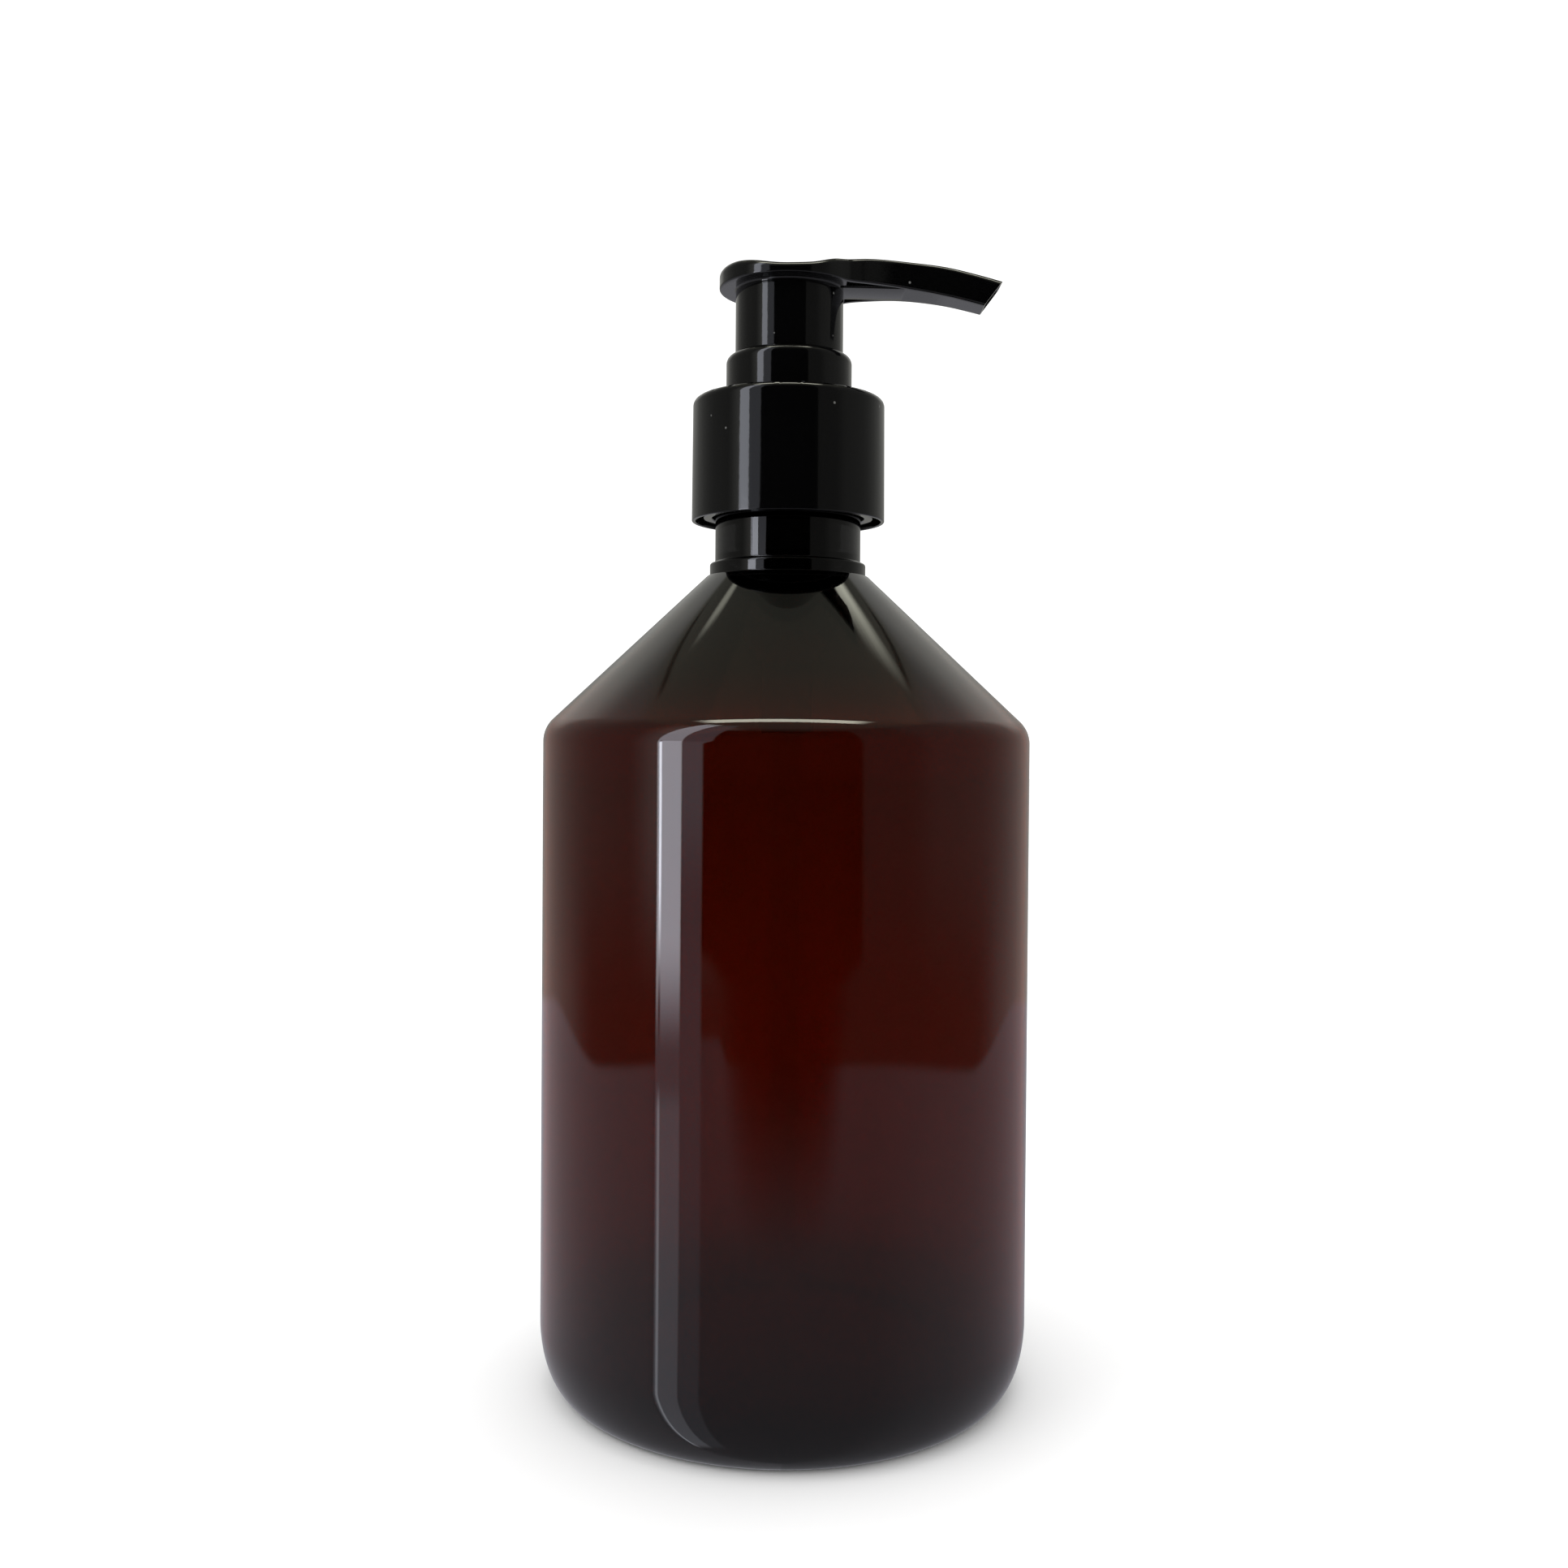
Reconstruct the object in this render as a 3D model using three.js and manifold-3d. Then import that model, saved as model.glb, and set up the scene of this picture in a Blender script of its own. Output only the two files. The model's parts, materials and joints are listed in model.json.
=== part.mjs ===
// A soap dispenser: a round amber bottle with a screw-on lotion pump.
// Millimetres, +Z up. The origin is the centre of the bottle's base, and the spout points along +X.

import * as THREE from 'three';
import { mergeVertices } from 'three/addons/utils/BufferGeometryUtils.js';
import Module from 'manifold-3d';

const wasm = await Module();
wasm.setup();

// ---- Driving dimensions ----------------------------------------------------------------

// Bottle body
const BODY_R = 38.85;
const BODY_WALL = 0.85;
const BASE_RING_OUT_R = 34.2;
const BASE_RING_IN_R = 27;
const HEEL_H = 10.4;
const PUSH_UP_H = 6.5;
const PUSH_UP_WALL = 1.3;
const SHOULDER_CORNER_Z = 103.7;
const SHOULDER_SLOPE = 1.057; // radius lost per millimetre of height
const SHOULDER_EDGE_R = 4.9;
const SHOULDER_TOP_R = 14.6;
const CONE_START_Z = 127;

// Bottle neck and finish
const NECK_START_R = 13;
const NECK_RUN_OUT_Z = 131;
const BEAD_R = 12.54;
const BEAD_Z0 = 128.2;
const BEAD_Z1 = 130.3;
const LOWER_NECK_R = 11.7;
const LOWER_NECK_TOP_Z = 138.5;
const FINISH_R = 10.8;
const FINISH_TOP_Z = 149.5;
const FINISH_BORE_R = 8.6;
const FINISH_EDGE = 0.5;
const BEAD_EDGE = 0.35;

// Screw thread shared by the finish and the closure
const THREAD_PITCH = 3.175;
const THREAD_TURNS = 1.5;
const FINISH_THREAD_START_Z = 141;
const FINISH_THREAD_BEAD_R = 0.95;
const CLOSURE_THREAD_BEAD_R = 0.85;

// Closure
const CLOSURE_Z0 = 137;
const CLOSURE_Z1 = 156.6;
const CLOSURE_BOTTOM_R = 15.5;
const CLOSURE_TOP_R = 15.38;
const CLOSURE_SHELL = 0.6;
const CLOSURE_EDGE_R = 1.15;
const SLEEVE_OUT_R = 13.7;
const SLEEVE_IN_R = 12.2;
const SLEEVE_Z0 = 137.5;
const CLOSURE_PLATE_Z = 155.2;
const TURRET_HOLE_R = 10.35;

// Lock ring
const TURRET_R = 10.1;
const TURRET_TOP_Z = 163.6;
const TURRET_BORE_R = 9;
const TURRET_EDGE_R = 1.5;
const TURRET_LIP_R = 0.25;
const LOCK_FLANGE_R = 11.3;
const LOCK_FLANGE_Z0 = 151.95;
const LOCK_FLANGE_Z1 = 155.1;
const LOCK_FLOOR_Z = 152.6;
const GUIDE_TOP_Z = 156;
const GUIDE_OUT_R = 5.2;
const GUIDE_BORE_R = 3.4;

// Pump housing
const HOUSING_FLANGE_R = 10.9;
const HOUSING_FLANGE_Z0 = 150.6;
const HOUSING_FLANGE_Z1 = 151.9;
const BARREL_R = 8.2;
const BARREL_Z0 = 145;
const CYLINDER_R = 7.2;
const CYLINDER_BORE_R = 6.3;
const CYLINDER_FLOOR_Z = 119.2;
const CHAMBER_OUT_R = 4.1;
const CHAMBER_BORE_R = 3;
const SEAT_Z = 113.2;
const INLET_R = 1.4;
const SOCKET_TOP_Z = 112;
const SOCKET_BOTTOM_Z = 104;
const VENT_R = 0.7;
const VENT_Z = 147.8;
const TUBE_SOCKET_R = 2.65;

// Gasket
const GASKET_IN_R = 8.4;
const GASKET_Z0 = 149.55;
const GASKET_Z1 = 150.55;

// Dip tube
const DIP_R = 2.6;
const DIP_BORE_R = 1.85;
const DIP_TOP_Z = 111.8;
const DIP_BOTTOM_Z = 9;

// Valve ball, cage and spring
const BALL_R = 2.4;
const BALL_Z = 115.25;
const CAGE_R = 6.1;
const CAGE_Z0 = 119.3;
const CAGE_PLATE = 1.2;
const CAGE_SPIGOT_R = 3.9;
const CAGE_SPIGOT_H = 2;
const CAGE_BORE_R = 1.9;
const CAGE_PORTS = 4;
const CAGE_PORT_WIDTH = 1.4;
const CAGE_PORT_LIFT = 0.4;
const WIRE_R = 0.45;
const SPRING_R = 4.8;
const SPRING_TURNS = 7;
const SPRING_SEAT_GAP = 0.05;

// Plunger: stem, piston rod and piston
const STEM_R = 3.2;
const STEM_BORE_R = 2;
const STEM_TOP_Z = 172;
const STEM_BOTTOM_Z = 142;
const STEM_COLLAR_R = 4.5;
const STEM_COLLAR_Z0 = 150.3;
const STEM_COLLAR_Z1 = 151.6;
const ROD_R = 1.9;
const ROD_SEAT_R = 5.7;
const ROD_SEAT_Z = 138.65;
const ROD_SEAT_H = 1;
const ROD_SPIGOT_Z = 136.4;
const ROD_CONE_R = 4.4;
const ROD_TOP_Z = 149;
const ROD_TIP_H = 1;
const ROD_TIP_INSET = 0.7;
const ROD_GROOVES = 4;
const ROD_GROOVE_WIDTH = 1;
const ROD_GROOVE_FLOOR_R = 1;
const PISTON_R = 6.2;
const PISTON_HUB_IN_R = 3.3;
const PISTON_HUB_OUT_R = 4.4;
const PISTON_Z0 = 140.9;
const PISTON_Z1 = 149.2;
const PISTON_WEB_Z0 = 143.6;
const PISTON_WEB_Z1 = 145.2;
const PISTON_LIP = 0.7;
const PISTON_LIP_H = 1;
const PISTON_RELIEF = 0.3;

// Actuator
const PLATE_R = 11.3;
const PLATE_Z = 174.1;
const PLATE_BLEND_ANGLE = 42;
const PLATE_WELD = 0.4;
const POST_R = 8.67;
const POST_WALL = 0.85;
const POST_Z0 = 162.5;
const STEM_SOCKET_R = 3.28;
const STEM_SOCKET_OUT_R = 4.6;
const STEM_SOCKET_Z0 = 166;
const STEM_SOCKET_TOP_Z = 173.4;
const DUCT_HALF_WIDTH = 3.6;
const DUCT_Z0 = 173.9;
const DUCT_INNER_Z0 = 170.4;
const DUCT_INNER_HALF_WIDTH = 2.5;
const POCKET_TOP_Z = 176.3;
const POCKET_END_X = 18.5;
const SPOUT_WALL = 0.9;
const CHANNEL_R = 1.15;
const MOUTH_HALF_WIDTH = 2.3;
const MOUTH_HALF_HEIGHT = 1.55;
const TIP_TOP = new THREE.Vector2(34, 175.4);
const TIP_BOTTOM = new THREE.Vector2(31, 171.4);

// Facets
const BODY_SEGMENTS = 44;
const FINE_SEGMENTS = 32;
const SMALL_SEGMENTS = 24;
const THREAD_STEPS_PER_TURN = 20;

// ---- Finishes ----------------------------------------------------------------------------

const amber = () => new THREE.MeshStandardMaterial({ color: 0x2a0d06, roughness: 0.06, metalness: 0 });
const black = () => new THREE.MeshStandardMaterial({ color: 0x08080a, roughness: 0.12, metalness: 0 });
const natural = () => new THREE.MeshStandardMaterial({ color: 0xdedfdb, roughness: 0.4, metalness: 0 });
const soft = () => new THREE.MeshStandardMaterial({ color: 0xe9e8e2, roughness: 0.6, metalness: 0 });
const steel = () => new THREE.MeshStandardMaterial({ color: 0xb9bcc0, roughness: 0.25, metalness: 1 });
const glass = () => new THREE.MeshStandardMaterial({ color: 0xc9ddd6, roughness: 0.05, metalness: 0 });

// ---- Geometry helpers ----------------------------------------------------------------------

const point = (x, y) => new THREE.Vector2(x, y);

// Points of an elliptical arc, angles in degrees.
function arc(cx, cy, rx, ry, from, to, steps) {
  const curve = new THREE.EllipseCurve(
    cx, cy, rx, ry, THREE.MathUtils.degToRad(from), THREE.MathUtils.degToRad(to), to < from, 0);
  return curve.getPoints(steps);
}

// A body of revolution about Z, from its section as points (radius, height) in counter-clockwise order.
function revolve(section, segments) {
  const touchesAxis = section[0].x === 0;
  const profile = touchesAxis ? section : [...section, section[0].clone()];
  const geometry = new THREE.LatheGeometry(profile, segments);
  geometry.rotateX(Math.PI / 2);
  return geometry;
}

// A round tube or rod between two heights; innerR of 0 makes it solid.
function ring(innerR, outerR, z0, z1, segments) {
  return revolve([point(innerR, z0), point(outerR, z0), point(outerR, z1), point(innerR, z1)], segments);
}

function box(x0, x1, y0, y1, z0, z1) {
  const geometry = new THREE.BoxGeometry(x1 - x0, y1 - y0, z1 - z0);
  geometry.translate((x0 + x1) / 2, (y0 + y1) / 2, (z0 + z1) / 2);
  return geometry;
}

function solid(geometry) {
  const bare = geometry.clone();
  bare.deleteAttribute('normal');
  bare.deleteAttribute('uv');
  const merged = mergeVertices(bare, 1e-4);
  const mesh = new wasm.Mesh({
    numProp: 3,
    vertProperties: new Float32Array(merged.attributes.position.array),
    triVerts: new Uint32Array(merged.index.array),
  });
  return new wasm.Manifold(mesh);
}

function geometryOf(manifold) {
  const mesh = manifold.getMesh();
  const geometry = new THREE.BufferGeometry();
  geometry.setAttribute('position', new THREE.BufferAttribute(mesh.vertProperties, 3));
  geometry.setIndex(new THREE.BufferAttribute(mesh.triVerts, 1));
  geometry.computeVertexNormals();
  return geometry;
}

function joined(base, ...others) {
  return others.reduce((whole, other) => whole.add(solid(other)), solid(base));
}

function named(name, geometry, material) {
  const mesh = new THREE.Mesh(geometry, material);
  mesh.name = name;
  return mesh;
}

// A right-hand helix about Z. lead is the height gained per turn.
class Helix extends THREE.Curve {
  constructor(radius, z0, lead, turns, startAngle) {
    super();
    Object.assign(this, { radius, z0, lead, turns, startAngle });
  }

  getPoint(t, target = new THREE.Vector3()) {
    const angle = this.startAngle + 2 * Math.PI * this.turns * t;
    const z = this.z0 + this.lead * this.turns * t;
    return target.set(this.radius * Math.cos(angle), this.radius * Math.sin(angle), z);
  }
}

// A spring's centreline: closed end turns, and open turns between them.
class SpringLine extends THREE.Curve {
  constructor(radius, z0, z1, turns, closedRise) {
    super();
    Object.assign(this, { radius, z0, z1, turns, closedRise });
  }

  getPoint(t, target = new THREE.Vector3()) {
    const angle = 2 * Math.PI * this.turns * t;
    const endTurn = 1 / this.turns;
    const open = THREE.MathUtils.clamp((t - endTurn) / (1 - 2 * endTurn), 0, 1);
    const closed = Math.min(t, endTurn) / endTurn + Math.max(t - 1 + endTurn, 0) / endTurn;
    const z = this.z0 + closed * this.closedRise + open * (this.z1 - this.z0 - 2 * this.closedRise);
    return target.set(this.radius * Math.cos(angle), this.radius * Math.sin(angle), z);
  }
}

// An oval bead, wire or passage swept along a curve, with half-axes across and upright.
function sweep(curve, across, upright, sides, steps) {
  const section = new THREE.Shape(arc(0, 0, across, upright, 0, 360, sides).slice(0, sides));
  return new THREE.ExtrudeGeometry(section, { extrudePath: curve, steps });
}

function threadBead(radius, z0, startAngle, beadR) {
  const curve = new Helix(radius, z0, THREAD_PITCH, THREAD_TURNS, startAngle);
  const beadSides = 6;
  return sweep(curve, beadR, beadR, beadSides, Math.round(THREAD_TURNS * THREAD_STEPS_PER_TURN));
}

// ---- Bottle --------------------------------------------------------------------------------

// The fillet between the straight wall and the cone shoulder, for a wall offset inwards by inset.
function shoulderEdge(inset) {
  const lean = Math.atan(SHOULDER_SLOPE);
  const wallR = BODY_R - inset;
  const edgeR = SHOULDER_EDGE_R - inset;
  const tangent = edgeR * Math.tan(lean / 2);
  const cornerZ = SHOULDER_CORNER_Z - inset * Math.tan(lean / 2);
  const leanDegrees = THREE.MathUtils.radToDeg(lean);
  return arc(wallR - edgeR, cornerZ - tangent, edgeR, edgeR, 0, leanDegrees, 3);
}

function coneRadius(z) {
  return BODY_R - SHOULDER_SLOPE * (z - SHOULDER_CORNER_Z);
}

function bottleOutside() {
  const shoulderTopZ = SHOULDER_CORNER_Z + (BODY_R - SHOULDER_TOP_R) / SHOULDER_SLOPE;
  return [
    point(BASE_RING_IN_R, 0),
    ...arc(BASE_RING_OUT_R, HEEL_H, BODY_R - BASE_RING_OUT_R, HEEL_H, -90, 0, 7),
    ...shoulderEdge(0),
    point(SHOULDER_TOP_R, shoulderTopZ),
    point(NECK_START_R, BEAD_Z0),
    point(BEAD_R, BEAD_Z0),
    point(BEAD_R, BEAD_Z1 - BEAD_EDGE),
    point(BEAD_R - BEAD_EDGE, BEAD_Z1),
    point(LOWER_NECK_R, BEAD_Z1),
    point(LOWER_NECK_R, LOWER_NECK_TOP_Z),
    point(FINISH_R, LOWER_NECK_TOP_Z + FINISH_R / LOWER_NECK_R),
    point(FINISH_R, FINISH_TOP_Z - FINISH_EDGE),
    point(FINISH_R - FINISH_EDGE, FINISH_TOP_Z),
  ];
}

function bottleInside() {
  const wall = BODY_WALL;
  const coneStartR = coneRadius(CONE_START_Z) - 2 * wall;
  return [
    point(FINISH_BORE_R, FINISH_TOP_Z),
    point(FINISH_BORE_R, NECK_RUN_OUT_Z),
    point(coneStartR, CONE_START_Z),
    ...shoulderEdge(wall).reverse(),
    ...arc(BASE_RING_OUT_R, HEEL_H, BODY_R - wall - BASE_RING_OUT_R, HEEL_H - wall, 0, -90, 5),
    point(BASE_RING_IN_R + wall, wall),
  ];
}

// The dome under the base, from the axis out to its rim: rimH and topH are the heights of rim and crown.
function pushUp(rimR, rimH, topH) {
  return arc(0, rimH, rimR, topH - rimH, 90, 0, 4).slice(0, 4);
}

function bottle() {
  const under = pushUp(BASE_RING_IN_R, 0, PUSH_UP_H);
  const over = pushUp(BASE_RING_IN_R + BODY_WALL, BODY_WALL, PUSH_UP_H + PUSH_UP_WALL);
  const section = [...under, ...bottleOutside(), ...bottleInside(), ...over.reverse()];
  const thread = threadBead(FINISH_R, FINISH_THREAD_START_Z, 0, FINISH_THREAD_BEAD_R);
  const shell = joined(revolve(section, BODY_SEGMENTS), thread);
  return named('bottle', geometryOf(shell), amber());
}

// ---- Closure and gasket ----------------------------------------------------------------------

function closure() {
  const edge = CLOSURE_EDGE_R;
  const shellInR = CLOSURE_BOTTOM_R - CLOSURE_SHELL;
  const section = [
    point(SLEEVE_IN_R, SLEEVE_Z0),
    point(SLEEVE_OUT_R, SLEEVE_Z0),
    point(SLEEVE_OUT_R, CLOSURE_PLATE_Z),
    point(shellInR, CLOSURE_PLATE_Z),
    point(shellInR, CLOSURE_Z0),
    point(CLOSURE_BOTTOM_R, CLOSURE_Z0),
    ...arc(CLOSURE_TOP_R - edge, CLOSURE_Z1 - edge, edge, edge, 0, 90, 4),
    point(TURRET_HOLE_R, CLOSURE_Z1),
    point(TURRET_HOLE_R, CLOSURE_PLATE_Z),
    point(SLEEVE_IN_R, CLOSURE_PLATE_Z),
  ];
  const threadStartZ = FINISH_THREAD_START_Z + THREAD_PITCH / 2;
  const thread = threadBead(SLEEVE_IN_R, threadStartZ, 0, CLOSURE_THREAD_BEAD_R);
  const shell = joined(revolve(section, BODY_SEGMENTS), thread);
  return named('closure', geometryOf(shell), black());
}

function gasket() {
  return named('gasket', ring(GASKET_IN_R, HOUSING_FLANGE_R, GASKET_Z0, GASKET_Z1, FINE_SEGMENTS), soft());
}

// ---- Lock ring ---------------------------------------------------------------------------------

function lockRing() {
  const edge = TURRET_EDGE_R;
  const section = [
    point(GUIDE_BORE_R, LOCK_FLANGE_Z0),
    point(LOCK_FLANGE_R, LOCK_FLANGE_Z0),
    point(LOCK_FLANGE_R, LOCK_FLANGE_Z1),
    point(TURRET_R, LOCK_FLANGE_Z1),
    ...arc(TURRET_R - edge + TURRET_LIP_R, TURRET_TOP_Z - edge, edge - TURRET_LIP_R, edge, 0, 90, 4),
    point(TURRET_BORE_R, TURRET_TOP_Z - TURRET_LIP_R),
    point(TURRET_BORE_R, LOCK_FLOOR_Z),
    point(GUIDE_OUT_R, LOCK_FLOOR_Z),
    point(GUIDE_OUT_R, GUIDE_TOP_Z),
    point(GUIDE_BORE_R, GUIDE_TOP_Z),
  ];
  return named('lock_ring', revolve(section, FINE_SEGMENTS), black());
}

// ---- Housing, dip tube and inlet valve -----------------------------------------------------------

function housing() {
  const section = [
    point(TUBE_SOCKET_R, SOCKET_BOTTOM_Z),
    point(CHAMBER_OUT_R, SOCKET_BOTTOM_Z),
    point(CHAMBER_OUT_R, SEAT_Z + 1),
    point(CYLINDER_R, CYLINDER_FLOOR_Z - 1),
    point(CYLINDER_R, BARREL_Z0 - 1),
    point(BARREL_R, BARREL_Z0),
    point(BARREL_R, HOUSING_FLANGE_Z0),
    point(HOUSING_FLANGE_R, HOUSING_FLANGE_Z0),
    point(HOUSING_FLANGE_R, HOUSING_FLANGE_Z1),
    point(CYLINDER_BORE_R, HOUSING_FLANGE_Z1),
    point(CYLINDER_BORE_R, CYLINDER_FLOOR_Z),
    point(CHAMBER_BORE_R, CYLINDER_FLOOR_Z),
    point(CHAMBER_BORE_R, SEAT_Z + CHAMBER_BORE_R - INLET_R),
    point(INLET_R, SEAT_Z),
    point(INLET_R, SOCKET_TOP_Z),
    point(TUBE_SOCKET_R, SOCKET_TOP_Z),
  ];
  const ventSides = 12;
  const ventLine = new THREE.CylinderGeometry(VENT_R, VENT_R, 3 * BARREL_R, ventSides);
  ventLine.translate(0, 0, VENT_Z);
  const body = solid(revolve(section, FINE_SEGMENTS)).subtract(solid(ventLine));
  return named('housing', geometryOf(body), natural());
}

function dipTube() {
  const tube = ring(DIP_BORE_R, DIP_R, DIP_BOTTOM_Z, DIP_TOP_Z, SMALL_SEGMENTS);
  const wedgeSize = 4 * DIP_R;
  const wedge = box(-wedgeSize, wedgeSize, -wedgeSize, wedgeSize, -wedgeSize, 0);
  wedge.rotateY(-Math.PI / 4);
  wedge.translate(-DIP_R, 0, DIP_BOTTOM_Z);
  const cut = solid(tube).subtract(solid(wedge));
  return named('dip_tube', geometryOf(cut), soft());
}

function inletBall() {
  const ball = new THREE.SphereGeometry(BALL_R, SMALL_SEGMENTS, SMALL_SEGMENTS / 2);
  ball.rotateX(Math.PI / 2);
  ball.translate(0, 0, BALL_Z);
  return named('inlet_ball', ball, glass());
}

function ballCage() {
  const plateTop = CAGE_Z0 + CAGE_PLATE;
  const plate = ring(CAGE_BORE_R, CAGE_R, CAGE_Z0, plateTop, FINE_SEGMENTS);
  const spigot = ring(CAGE_BORE_R, CAGE_SPIGOT_R, CAGE_Z0, plateTop + CAGE_SPIGOT_H, FINE_SEGMENTS);
  let cage = joined(plate, spigot);
  const halfPort = CAGE_PORT_WIDTH / 2;
  const portTop = plateTop + 2 * CAGE_SPIGOT_H;
  for (let i = 0; i < CAGE_PORTS; i += 1) {
    const port = box(0, CAGE_R, -halfPort, halfPort, plateTop + CAGE_PORT_LIFT, portTop);
    port.rotateZ((i * 2 * Math.PI) / CAGE_PORTS);
    cage = cage.subtract(solid(port));
  }
  return named('ball_cage', geometryOf(cage), natural());
}

function spring() {
  const z0 = CAGE_Z0 + CAGE_PLATE + WIRE_R + SPRING_SEAT_GAP;
  const z1 = ROD_SEAT_Z - WIRE_R - SPRING_SEAT_GAP;
  const line = new SpringLine(SPRING_R, z0, z1, SPRING_TURNS, 2 * WIRE_R + SPRING_SEAT_GAP);
  const wireSides = 6;
  const stepsPerTurn = 12;
  return named('spring', sweep(line, WIRE_R, WIRE_R, wireSides, SPRING_TURNS * stepsPerTurn), steel());
}

// ---- Plunger ---------------------------------------------------------------------------------------

function stem() {
  const section = [
    point(STEM_BORE_R, STEM_BOTTOM_Z),
    point(STEM_R, STEM_BOTTOM_Z),
    point(STEM_R, STEM_COLLAR_Z0),
    point(STEM_COLLAR_R, STEM_COLLAR_Z0),
    point(STEM_COLLAR_R, STEM_COLLAR_Z1),
    point(STEM_R, STEM_COLLAR_Z1),
    point(STEM_R, STEM_TOP_Z),
    point(STEM_BORE_R, STEM_TOP_Z),
  ];
  return named('stem', revolve(section, SMALL_SEGMENTS), natural());
}

function pistonRod() {
  const seatTop = ROD_SEAT_Z + ROD_SEAT_H;
  const coneTop = seatTop + 1;
  const spigotEdge = 0.3;
  const section = [
    point(0, ROD_SPIGOT_Z),
    point(CAGE_SPIGOT_R - spigotEdge, ROD_SPIGOT_Z),
    point(CAGE_SPIGOT_R, ROD_SPIGOT_Z + 2 * spigotEdge),
    point(CAGE_SPIGOT_R, ROD_SEAT_Z),
    point(ROD_SEAT_R, ROD_SEAT_Z),
    point(ROD_SEAT_R, seatTop),
    point(ROD_CONE_R, seatTop),
    point(ROD_R + ROD_TIP_INSET, coneTop),
    point(ROD_R, coneTop),
    point(ROD_R, ROD_TOP_Z - ROD_TIP_H),
    point(ROD_R - ROD_TIP_INSET, ROD_TOP_Z),
    point(0, ROD_TOP_Z),
  ];
  const halfGroove = ROD_GROOVE_WIDTH / 2;
  const grooveZ0 = coneTop + 0.2;
  let rod = solid(revolve(section, SMALL_SEGMENTS));
  for (let i = 0; i < ROD_GROOVES; i += 1) {
    const groove = box(ROD_GROOVE_FLOOR_R, STEM_R, -halfGroove, halfGroove, grooveZ0, ROD_TOP_Z + 1);
    groove.rotateZ(((i + 0.5) * 2 * Math.PI) / ROD_GROOVES);
    rod = rod.subtract(solid(groove));
  }
  return named('piston_rod', geometryOf(rod), natural());
}

function piston() {
  const lipInR = PISTON_R - PISTON_LIP;
  const reliefR = PISTON_R - PISTON_RELIEF;
  const lowerLipZ = PISTON_Z0 + 0.8;
  const upperLipZ = PISTON_Z1 - 1.2;
  const section = [
    point(PISTON_HUB_IN_R, PISTON_Z0),
    point(PISTON_HUB_OUT_R, PISTON_Z0),
    point(PISTON_HUB_OUT_R, PISTON_WEB_Z0),
    point(lipInR, PISTON_WEB_Z0),
    point(lipInR, lowerLipZ),
    point(PISTON_R, lowerLipZ),
    point(PISTON_R, lowerLipZ + PISTON_LIP_H),
    point(reliefR, PISTON_WEB_Z0),
    point(reliefR, PISTON_WEB_Z1),
    point(PISTON_R, upperLipZ - PISTON_LIP_H),
    point(PISTON_R, upperLipZ),
    point(lipInR, upperLipZ),
    point(lipInR, PISTON_WEB_Z1),
    point(PISTON_HUB_OUT_R, PISTON_WEB_Z1),
    point(PISTON_HUB_OUT_R, PISTON_Z1),
    point(PISTON_HUB_IN_R, PISTON_Z1),
  ];
  return named('piston', revolve(section, SMALL_SEGMENTS), soft());
}

// ---- Actuator ----------------------------------------------------------------------------------------

// Half the plan outline of the plate and spout, as points (x, y) with y >= 0, pulled in by inset.
function halfPlan(inset) {
  const disc = arc(0, 0, PLATE_R - inset, PLATE_R - inset, 180, PLATE_BLEND_ANGLE, 14);
  const flank = new THREE.SplineCurve([
    disc[disc.length - 1].clone(),
    point(9.6, 6.6 - inset),
    point(12.3, 5.7 - inset),
    point(15, 4.9 - inset),
    point(17.5, 4.25 - inset),
    point(20, 3.75 - inset),
    point(25, 3.25 - inset),
    point(31, 3.1 - inset),
    point(36, 3.08 - inset),
  ]);
  return [...disc, ...flank.getPoints(14).slice(1)];
}

function planSlab(inset, z0, z1) {
  const half = halfPlan(inset);
  const mirrored = half.slice(1).map((p) => point(p.x, -p.y)).reverse();
  const outline = new THREE.Shape([...half, ...mirrored].reverse());
  const slab = new THREE.ExtrudeGeometry(outline, { depth: z1 - z0, bevelEnabled: false });
  slab.translate(0, 0, z0);
  return slab;
}

// The side outline of the plate and spout in the XZ plane: a saddle, then an arched, drooping spout.
function sideSlab() {
  const top = new THREE.SplineCurve([
    TIP_TOP,
    point(29.4, 176.6),
    point(25, 177.53),
    point(20.6, 177.95),
    point(15, 178.1),
    point(11.5, 177.92),
    point(8, 177.3),
    point(4, 176.12),
    point(0, 175.78),
    point(-2.75, 175.95),
    point(-7.1, 176.8),
    point(-9.2, 177.1),
    point(-PLATE_R - 1, 177.2),
  ]);
  const bottom = new THREE.SplineCurve([
    point(12.5, PLATE_Z),
    point(18, 173.8),
    point(25, 172.8),
    TIP_BOTTOM,
  ]);
  const outline = new THREE.Shape([
    ...top.getPoints(30),
    point(-PLATE_R - 1, PLATE_Z),
    ...bottom.getPoints(8),
  ]);
  const slab = new THREE.ExtrudeGeometry(outline, { depth: 4 * PLATE_R, bevelEnabled: false });
  slab.rotateX(Math.PI / 2);
  slab.translate(0, 2 * PLATE_R, 0);
  return slab;
}

// The way the soap takes from the stem, up and along the spout to its mouth.
function channel() {
  const line = new THREE.CatmullRomCurve3([
    new THREE.Vector3(1, 0, 172.6),
    new THREE.Vector3(5, 0, 172.9),
    new THREE.Vector3(12, 0, 175.9),
    new THREE.Vector3(18, 0, 176.1),
    new THREE.Vector3(25, 0, 175.3),
    new THREE.Vector3(36, 0, 172.6),
  ]);
  return sweep(line, CHANNEL_R, CHANNEL_R, 10, 24);
}

function mouth() {
  const start = new THREE.Vector3(27, 0, 174.76);
  const end = new THREE.Vector3(36, 0, 172.51);
  return sweep(new THREE.LineCurve3(start, end), MOUTH_HALF_WIDTH, MOUTH_HALF_HEIGHT, 16, 1);
}

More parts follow.
